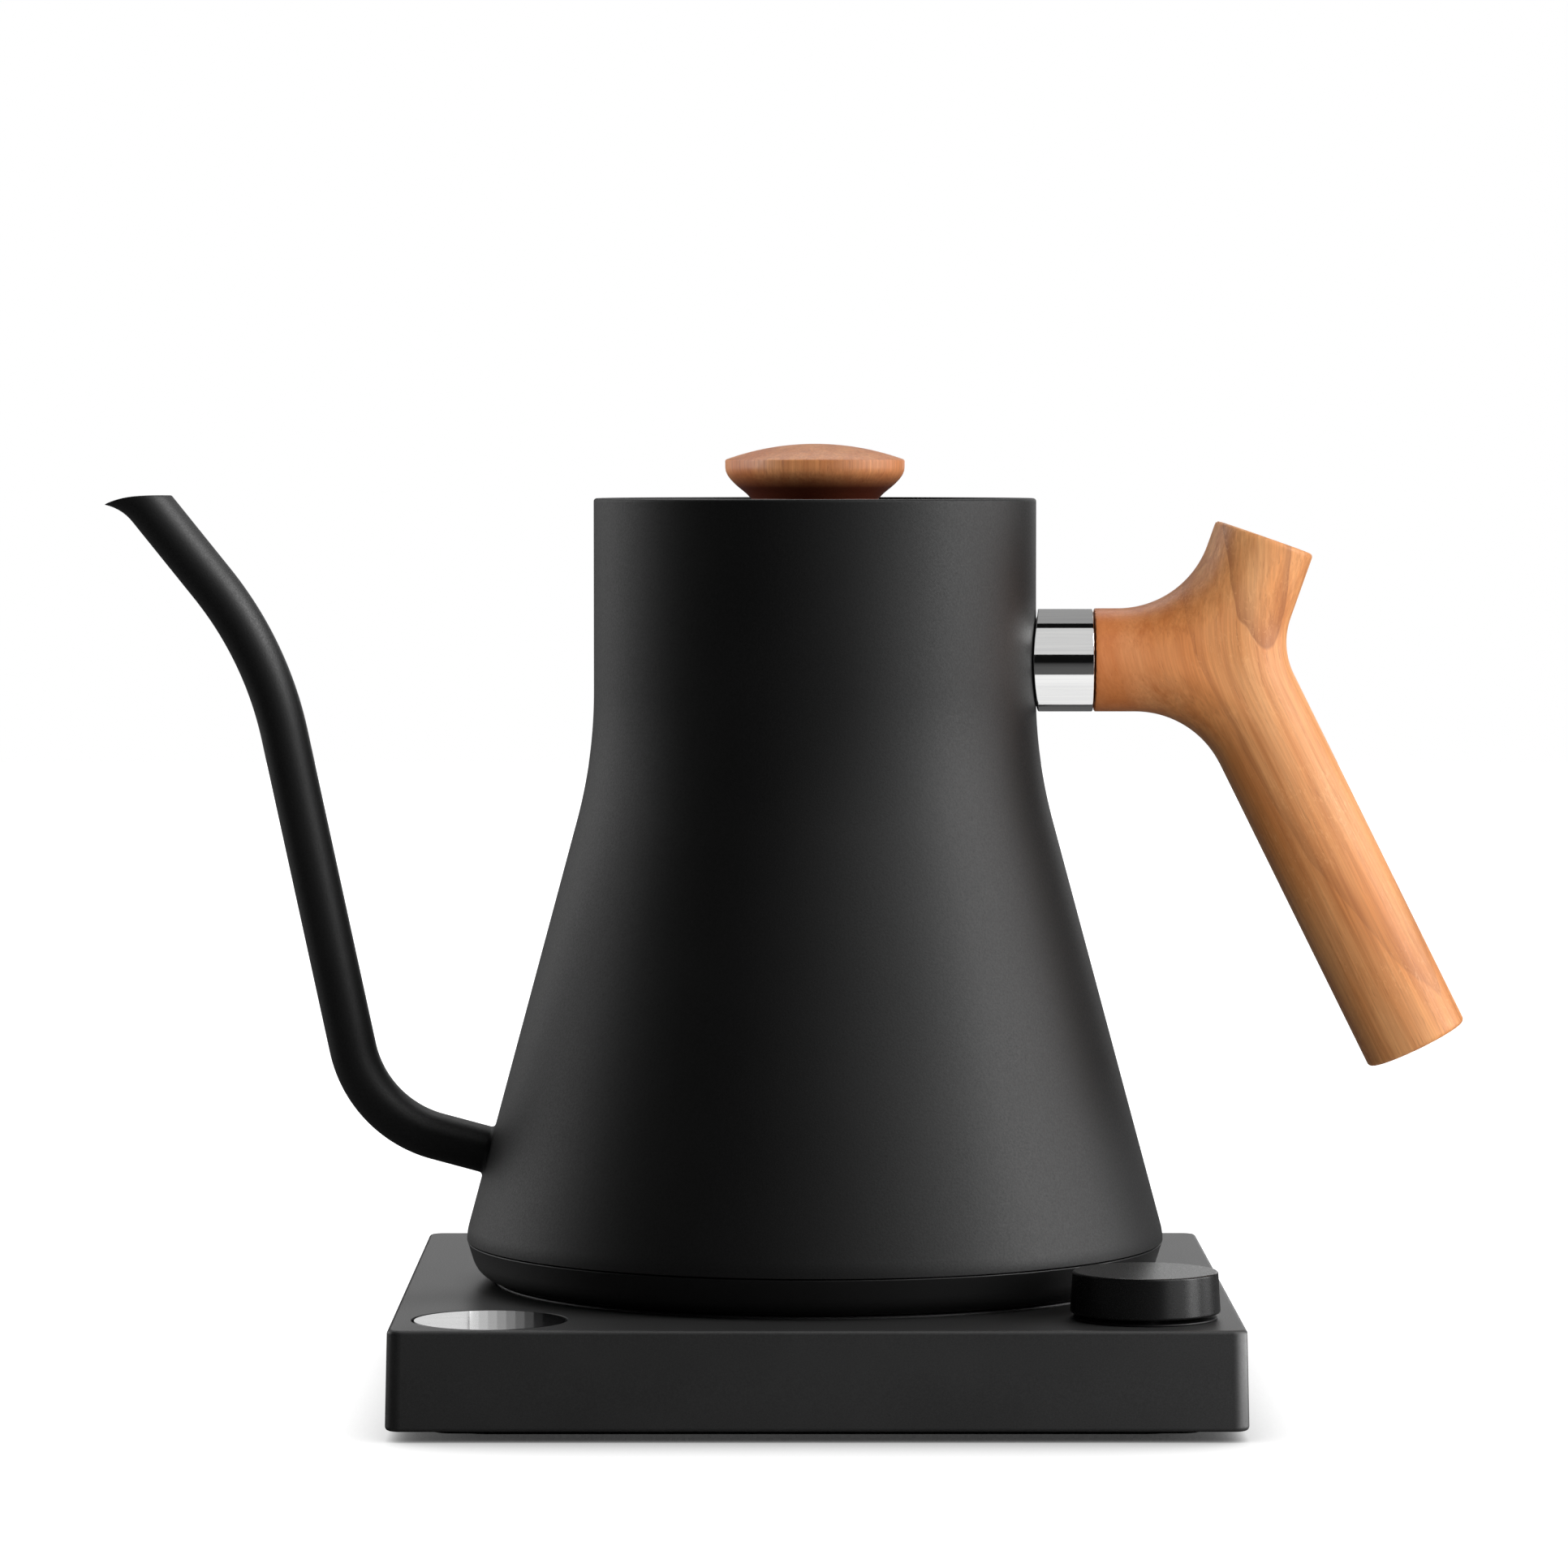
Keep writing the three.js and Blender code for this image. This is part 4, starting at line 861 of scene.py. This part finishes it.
def wood_outline():
    """The handle's side view: an arm from the vessel, a stub up and a grip down, with their fillets."""
    right = Vector((1, 0))
    up = Vector((sin(STUB_LEAN), cos(STUB_LEAN)))
    down = Vector((sin(GRIP_LEAN), -cos(GRIP_LEAN)))
    stub_side = Vector((up.y, -up.x)) * STUB_HALF
    grip_side = Vector((-down.y, down.x)) * GRIP_HALF
    top = Vector((FERRULE_END, HANDLE_Z + FERRULE_RADIUS))
    bottom = Vector((FERRULE_END, HANDLE_Z - FERRULE_RADIUS))
    beyond = 20
    return rounded([
        top - right * beyond,
        (*meet(top, right, STUB_END - stub_side, up), OUTER_FILLET),
        STUB_END - stub_side + up * beyond,
        STUB_END + stub_side + up * beyond,
        (*meet(STUB_END + stub_side, up, GRIP_END + grip_side, down), CROTCH_FILLET),
        GRIP_END + grip_side + down * beyond,
        GRIP_END - grip_side + down * beyond,
        (*meet(GRIP_END - grip_side, down, bottom, right), OUTER_FILLET),
        bottom - right * beyond,
    ], closed=True, steps=32)


def depth_map(outline, start, step, shape):
    """How far inside a closed outline each point of a flat grid is."""
    x = start[0] + step * np.arange(shape[0])[:, None]
    z = start[1] + step * np.arange(shape[1])[None, :]
    nearest = np.full(shape, 1e9)
    inside = np.zeros(shape, bool)
    for (ax, az), (bx, bz) in zip(outline, outline[1:] + outline[:1]):
        dx, dz = bx - ax, bz - az
        length = dx * dx + dz * dz
        if length < 1e-12:
            continue
        t = np.clip(((x - ax) * dx + (z - az) * dz) / length, 0, 1)
        nearest = np.minimum(nearest, (x - ax - t * dx) ** 2 + (z - az - t * dz) ** 2)
        if dz:
            inside ^= ((az > z) != (bz > z)) & (x < dx * (z - az) / dz + ax)
    return np.where(inside, 1, -1) * np.sqrt(nearest)


def smooth_step(value, start, end):
    t = np.clip((value - start) / (end - start), 0, 1)
    return t * t * (3 - 2 * t)


def round_meet(first, second, radius):
    """The overlap of two solids given by their distances, with its edge rounded."""
    return (np.minimum(-radius, np.maximum(first, second))
            + np.hypot(np.maximum(radius + first, 0), np.maximum(radius + second, 0)))


def surface_net(field, start, step):
    """Corners and faces where a field on a grid passes zero: one corner in each cell that it crosses."""
    cells = np.array(field.shape) - 1
    total = np.zeros((*cells, 3))
    count = np.zeros(cells)
    for axis in range(3):
        for corner in [c for c in np.ndindex(2, 2, 2) if not c[axis]]:
            far = [c + (i == axis) for i, c in enumerate(corner)]
            a = field[tuple(slice(c, c + n) for c, n in zip(corner, cells))]
            b = field[tuple(slice(c, c + n) for c, n in zip(far, cells))]
            crossed = (a < 0) != (b < 0)
            share = np.where(crossed, a / np.where(crossed, a - b, 1), 0)
            count += crossed
            for i in range(3):
                total[..., i] += crossed * corner[i] + (share if i == axis else 0)
    used = count > 0
    number = np.full(cells, -1)
    number[used] = np.arange(np.count_nonzero(used))
    points = start + step * (np.argwhere(used) + total[used] / count[used][:, None])
    faces = []
    inside = field < 0
    for axis in range(3):
        u, v = (axis + 1) % 3, (axis + 2) % 3
        edges = np.argwhere(np.diff(inside, axis=axis))
        kept = (edges[:, u] > 0) & (edges[:, v] > 0) & (edges[:, u] < cells[u]) & (edges[:, v] < cells[v])
        edges = edges[kept]
        quad = []
        for du, dv in ((1, 1), (0, 1), (0, 0), (1, 0)):
            cell = edges.copy()
            cell[:, u] -= du
            cell[:, v] -= dv
            quad.append(number[tuple(cell.T)])
        faces.append(np.stack(quad, 1))
    return points, np.concatenate(faces)


def wooden_handle():
    """The outline swollen to a round section: each point's thickness follows its depth in the outline."""
    flat_step, step, margin = 0.3, 0.52, 3
    fill_start, fill_end = 6, 26
    start = np.array([FERRULE_END, 0, WOOD_LOW[2]]) - (margin, 0, margin)
    size = np.array([WOOD_HIGH[0], 0, WOOD_HIGH[2]]) + (margin, 0, margin) - start
    shape = (int(size[0] / flat_step) + 2, int(size[2] / flat_step) + 2)
    depth = depth_map(wood_outline(), (start[0], start[2]), flat_step, shape)
    near_end = FERRULE_END + 0.3
    ends = [((near_end, HANDLE_Z), (-1, 0), 0.3),
            (STUB_END, (sin(STUB_LEAN), cos(STUB_LEAN)), 0.8),
            (GRIP_END, (sin(GRIP_LEAN), -cos(GRIP_LEAN)), 0.9)]

    def depth_at(x, z):
        u, w = (x - start[0]) / flat_step, (z - start[2]) / flat_step
        i = np.clip(u.astype(int), 0, shape[0] - 2)
        j = np.clip(w.astype(int), 0, shape[1] - 2)
        u, w = u - i, w - j
        near = depth[i, j] * (1 - w) + depth[i, j + 1] * w
        far = depth[i + 1, j] * (1 - w) + depth[i + 1, j + 1] * w
        return near * (1 - u) + far * u

    def value(x, y, z):
        fuller = smooth_step(HANDLE_Z - z, fill_start, fill_end)
        radius = FERRULE_RADIUS + (GRIP_HALF - FERRULE_RADIUS) * fuller
        body = np.hypot(np.maximum(radius - depth_at(x, z), 0), y) - radius
        for (px, pz), (nx, nz), edge in ends:
            body = round_meet(body, (x - px) * nx + (z - pz) * nz, edge)
        return body

    reach, beyond = GRIP_HALF + 1.5, 1.5
    net_start = np.array([start[0] + 1, -reach, start[2] + 1])
    net_end = (WOOD_HIGH[0] + beyond, reach, WOOD_HIGH[2] + beyond)
    axes = [np.arange(a, b, step) for a, b in zip(net_start, net_end)]
    points, faces = surface_net(value(*np.meshgrid(*axes, indexing="ij")), net_start, step)
    probe, pull = 0.02, 0.9
    for _ in range(5):
        x, y, z = points.T
        slope = np.stack([value(x + probe, y, z) - value(x - probe, y, z),
                          value(x, y + probe, z) - value(x, y - probe, z),
                          value(x, y, z + probe) - value(x, y, z - probe)], 1) / (2 * probe)
        steepness = np.maximum((slope ** 2).sum(1), 0.2)
        points = points - pull * (value(x, y, z) / steepness)[:, None] * slope
    handle = make_object("handle", points, faces.tolist())
    pocket_radius, pocket_depth = 5.1, 21.2
    cut(handle, cylinder(pocket_radius, -5, pocket_depth, (near_end, 0, HANDLE_Z),
                         Matrix.Rotation(QUARTER, 3, "Y"), segments=64))
    finish_piece(handle, "kettle", CHERRY, "cherry_wood", "handle_grip")


def ferrule():
    """A polished sleeve along X, its near end saddled to the round vessel."""
    inner, bore, floor = 9.4, 3.5, FERRULE_END - 7.8
    start = RIM_RADIUS + 0.35
    profile = profile_of([(inner, start), (FERRULE_RADIUS, start, 0.25), (FERRULE_RADIUS, FERRULE_END, 0.3),
                          (bore, FERRULE_END), (bore, floor), (inner, floor)], steps=3)

    def saddle(v):
        surface = sqrt(start ** 2 - v.y ** 2) + max(0, vessel_radius(v.z) - RIM_RADIUS)
        share = (FERRULE_END - v.x) / (FERRULE_END - start)
        return Vector((v.x - (start - surface) * share, v.y, v.z))

    sleeve = lathe("ferrule", profile, 160, (0, 0, HANDLE_Z), Matrix.Rotation(QUARTER, 3, "Y"), saddle)
    finish_piece(sleeve, "kettle", STEEL, "polished_steel", "handle_ferrule")


# -------- lid

def vent_cutters(bottom, top):
    circle = 31
    return [cylinder(1.6, bottom, top, (circle * cos(a), circle * sin(a), 0), segments=40)
            for a in map(radians, (30, 150, 270))]


def lid():
    bottom, top = heights("lid_disc")
    bore, outer = 2.3, high("lid_disc")[0]
    profile = profile_of([(bore, bottom), (outer, bottom, 0.2), (outer, top, 0.5), (bore, top)])
    disc = lathe("lid_plate", profile, 224)
    cut(disc, *vent_cutters(top - 5, top + 5))
    finish_piece(disc, "lid", POWDER_COAT, "powder_coat", "lid_disc")

    outer, (foot, top) = high("lid_skirt")[0], heights("lid_skirt")
    groove, groove_bottom, groove_top, wall, sheet = outer - 0.7, 181, 184, 2, 1
    skirt = lathe("lid_cup", profile_of([
        (0, foot), (outer, foot, 1.2), (outer, groove_bottom, 0.1), (groove, groove_bottom),
        (groove, groove_top), (outer, groove_top, 0.1), (outer, top, 0.3), (outer - wall, top, 0.3),
        (outer - wall, foot + sheet, 0.8), (0, foot + sheet)]), 192)
    cut(skirt, *vent_cutters(foot - 3, foot + 3))
    finish_piece(skirt, "lid", BRUSHED_STEEL, "brushed_steel", "lid_skirt")

    inner, rim = 43.3, high("lid_seal")[0]
    turned_piece("lid_gasket", "lid", SILICONE, "silicone", "lid_seal",
                 [(inner, 181.2), (rim, 181.7, 0.2), (rim, 182.2, 0.2), (inner, 183.8)], 192)


def knob():
    """A turned wooden button: a shallow dome with a crisp edge, a band, and a long sweep in to its neck."""
    rise, bore, bore_top, neck, edge, rings = 3.4, 3.7, 2.9, 13.6, 0.35, 14
    bottom = low("lid_knob")[2]
    # radius, and how far below the top: the sweep out from the neck to the band, and the dome's edge
    sweep = [(neck + 0.35, 11.4), (14.5, 10.8), (15.3, 10.1), (16.3, 9.3), (17.2, 8.5), (18.05, 7.6),
             (18.7, 6.7), (KNOB_RADIUS - 0.12, 5.8), (KNOB_RADIUS - 0.02, 5), (KNOB_RADIUS, rise + edge),
             (KNOB_RADIUS - 0.06, rise + 0.1)]
    dome = (KNOB_RADIUS ** 2 + rise ** 2) / (2 * rise)
    for i in range(rings, -1, -1):
        radius = (KNOB_RADIUS - 0.3) * i / rings
        sweep.append((radius, dome - sqrt(dome ** 2 - radius ** 2)))
    line = [(0, KNOB_TOP - bore_top), (bore, KNOB_TOP - bore_top), (bore, bottom), (neck, bottom),
            (neck + 0.05, bottom + 0.35)]
    button = lathe("lid_button", line + [(radius, KNOB_TOP - down) for radius, down in sweep], 128)
    finish_piece(button, "lid", KNOB_WOOD, "walnut_wood", "lid_knob")


# -------- the whole object

base_casing()
base_underside()
rubber_foot()
dock()
base_connector()
kettle_connector()
display()
dial()
rear_fittings()
for i in range(4):
    screw(f"foot_screw_{i + 1}", f"base_screw_{i + 1}", 2.65, 1.2, 1.3, "base")
vessel()
vessel_inside()
kettle_underside()
for i in range(3):
    screw(f"cover_screw_{i + 1}", f"underside_screw_{i + 1}", 2.9, 1.0, 1.3, "kettle")
screw("knob_screw", "lid_screw", 4.0, 2.2, 1.9, "lid")
spout()
wooden_handle()
ferrule()
lid()
knob()

INNER_FINISHES = {
    COMPONENT: ("relay", "display_module", "encoder_body", "thermostat", "hold_switch_body"),
    CIRCUIT_BOARD: ("power_board", "control_board"),
    DARK_PLASTIC: ("dial_insert",),
    BRASS: ("encoder_plunger", "handle_insert", "lid_insert"),
    SCREW_STEEL: ("encoder_shaft", "heating_element", "handle_stud", "lid_washer"),
    BRUSHED_STEEL: ("handle_boss",),
    ALUMINIUM: ("heat_spreader",),
}
for material, names in INNER_FINISHES.items():
    for name in names:
        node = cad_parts[name]
        node.data.materials.clear()
        node.data.materials.append(material)


# -------- stage

ROOM_LIGHT = 0.005
FLOOR_WHITE = 1.4


def pale_floor():
    """Matt white. The camera sees it evenly lit from all round, with soft contact shadows."""
    graph = Graph("pale_floor")
    from_behind = graph.combined(0, 0.35, 0.94)
    # The contact shadows are painted: ambient occlusion darkens the glow that the camera sees.
    open_sky = graph.node("AmbientOcclusion", {"Distance": 0.05, "Normal": from_behind}, samples=24)
    seen = graph.node("Emission", {"Strength": graph.math("MULTIPLY", open_sky.outputs["AO"], FLOOR_WHITE)})
    rays = graph.node("LightPath")
    # Reflections see the floor dark grey: painted shade on the pieces that mirror it.
    matt = graph.node("BsdfDiffuse", [
        graph.blend(rays.outputs["Is Glossy Ray"], (0.6, 0.6, 0.6), (0.15, 0.15, 0.15))])
    switch = graph.node("MixShader", (rays.outputs["Is Camera Ray"], matt.outputs[0], seen.outputs[0]))
    graph.node("OutputMaterial", [switch.outputs[0]])
    return graph.material


def table():
    """A wide pale floor, and nothing behind it but the bright surroundings."""
    half = 3
    mesh = bpy.data.meshes.new("floor")
    corners = [(-half, -half, 0), (half, -half, 0), (half, half, 0), (-half, half, 0)]
    mesh.from_pydata(corners, [], [[0, 1, 2, 3]])
    mesh.materials.append(pale_floor())
    floor = add("floor", mesh)


def surroundings():
    """White to the camera, and a dim room to everything else."""
    world = bpy.data.worlds.new("studio")
    bpy.context.scene.world = world
    world.use_nodes = True
    nodes, links = world.node_tree.nodes, world.node_tree.links
    nodes.clear()
    output, switch, rays = (
        nodes.new("ShaderNode" + kind) for kind in ("OutputWorld", "MixShader", "LightPath"))
    links.new(rays.outputs["Is Camera Ray"], switch.inputs[0])
    for socket, strength in ((1, ROOM_LIGHT), (2, 1)):
        sky = nodes.new("ShaderNodeBackground")
        sky.inputs["Color"].default_value = (1, 1, 1, 1)
        sky.inputs["Strength"].default_value = strength
        links.new(sky.outputs[0], switch.inputs[socket])
    links.new(switch.outputs[0], output.inputs[0])


def soft_box(name, azimuth, elevation, width, height, radiance, distance=1.4):
    """A light that faces the kettle. Azimuth 0 is towards the camera and 90 is on the right."""
    light = bpy.data.lights.new(name, "AREA")
    light.shape = "RECTANGLE"
    light.size = width
    light.size_y = height
    light.energy = radiance * pi * width * height
    obj = add(name, light)
    turn, rise = radians(azimuth), radians(elevation)
    way = Vector((sin(turn) * cos(rise), -cos(turn) * cos(rise), sin(rise)))
    obj.location = Vector((0, 0, 0.12)) + way * distance
    obj.rotation_euler = way.to_track_quat("Z", "Y").to_euler()
    obj.visible_camera = False
    return obj


def link_light(light, suffix, pieces, state):
    """Lets a light reach only some pieces (INCLUDE), or all but them (EXCLUDE)."""
    group = bpy.data.collections.new(light.name + suffix)
    for piece in pieces:
        group.objects.link(bpy.data.objects[piece])
    for member in group.collection_objects:
        member.light_linking.link_state = state
    light.light_linking.receiver_collection = group


def card(pieces, *box, mirrored=True, location=None, **options):
    """A soft box that only some pieces pick up. They needn't mirror it."""
    light = soft_box(*box, **options)
    light.visible_glossy = mirrored
    if location:
        light.location = location
    link_light(light, "_reaches", pieces, "INCLUDE")


def lens_cards():
    """Upright strips behind the display that fade to the right: the gradient in its reflection."""
    count, width, height, brightest, left = 8, 1.9, 0.05, 0.8, -71.0
    for i in range(count):
        card(["display_window"], f"lens_strip_{i + 1}", 180, 0, width * MM, height,
             brightest * (1 - (i + 0.5) / count) ** 1.5, location=((left + width * i) * MM, -0.05, 0.047))


def lights():
    """Soft boxes: name, azimuth, elevation, width, height and radiance. Angles are in degrees."""
    soft_box("left_box", -125, 8, 0.5, 1.2, 1.49)
    soft_box("left_side_box", -105, 8, 0.5, 1.2, 1.47)
    soft_box("left_back_box", -145, 8, 0.5, 1.2, 0.52)
    soft_box("right_box", 105, 8, 0.5, 1.2, 3.35)
    soft_box("right_front_box", 75, 8, 0.5, 1.2, 6.35)
    soft_box("low_right_box", 45, 2, 0.25, 0.25, 1.27, distance=0.55)
    soft_box("front_top_box", 35, 45, 0.7, 0.6, 2.17)
    soft_box("right_top_box", 70, 45, 0.7, 0.6, 2.19)
    soft_box("back_wall", 180, 9, 0.62, 0.55, 0.91, distance=1.7)
    soft_box("back_right_wall", 160, 9, 0.62, 0.55, 1.35, distance=1.7)
    link_light(soft_box("back_top_box", 180, 50, 1.6, 0.7, 2.16), "_spares", ["ferrule"], "EXCLUDE")
    base = ["base_casing", "dock_disc"]
    card(["handle"], "wood_card", 20, 12, 1.0, 1.0, 3.0, mirrored=False)
    card(["lid_button"], "knob_front_card", 50, 14, 1.0, 1.0, 2.6, mirrored=False)
    card(["handle"], "wood_left_card", -95, 35, 0.8, 0.8, 2.0)
    card(["lid_button"], "knob_card", -82, 14, 0.8, 0.8, 7.0)
    card(base, "base_top_card", 0, 80, 1.6, 0.8, 1.2)
    card(base[:1], "base_side_card", 90, 0, 0.25, 0.02, 9.0, location=(0.2, -0.09, 0.011))
    card(base, "base_front_card", 60, 4, 0.25, 0.25, 8.0, distance=0.45, mirrored=False)
    card(["spout"], "spout_card", 68, 30, 0.8, 0.8, 9.0)
    card(["ferrule"], "ferrule_card", 0, 46, 1.2, 1.7, 0.70)
    card(["ferrule"], "ferrule_back_card", 180, 48, 1.2, 2.45, 0.34)
    for azimuth in (60, 120, 240, 300):
        card(["ferrule"], f"ferrule_side_card_{azimuth}", azimuth, 40, 1.0, 1.3, 0.55)
    lens_cards()
    card(["ferrule"], "ferrule_low_card", 0, -89, 0.045, 0.036, 0.92,
         location=(0.0675, -0.0185, HANDLE_Z * MM - 0.0192))


def camera():
    """A long lens a little above the knob, looking slightly down."""
    lens = bpy.data.cameras.new("camera")
    lens.sensor_width = 36
    lens.lens = 154.85
    lens.clip_end = 50
    obj = add("camera", lens)
    obj.location = (-0.0084, -1.4434, 0.1982)
    obj.rotation_euler = (radians(90 - 2.733), 0, radians(-0.071))
    bpy.context.scene.camera = obj


table()
surroundings()
lights()
camera()
bpy.context.scene.view_settings.view_transform = "Standard"
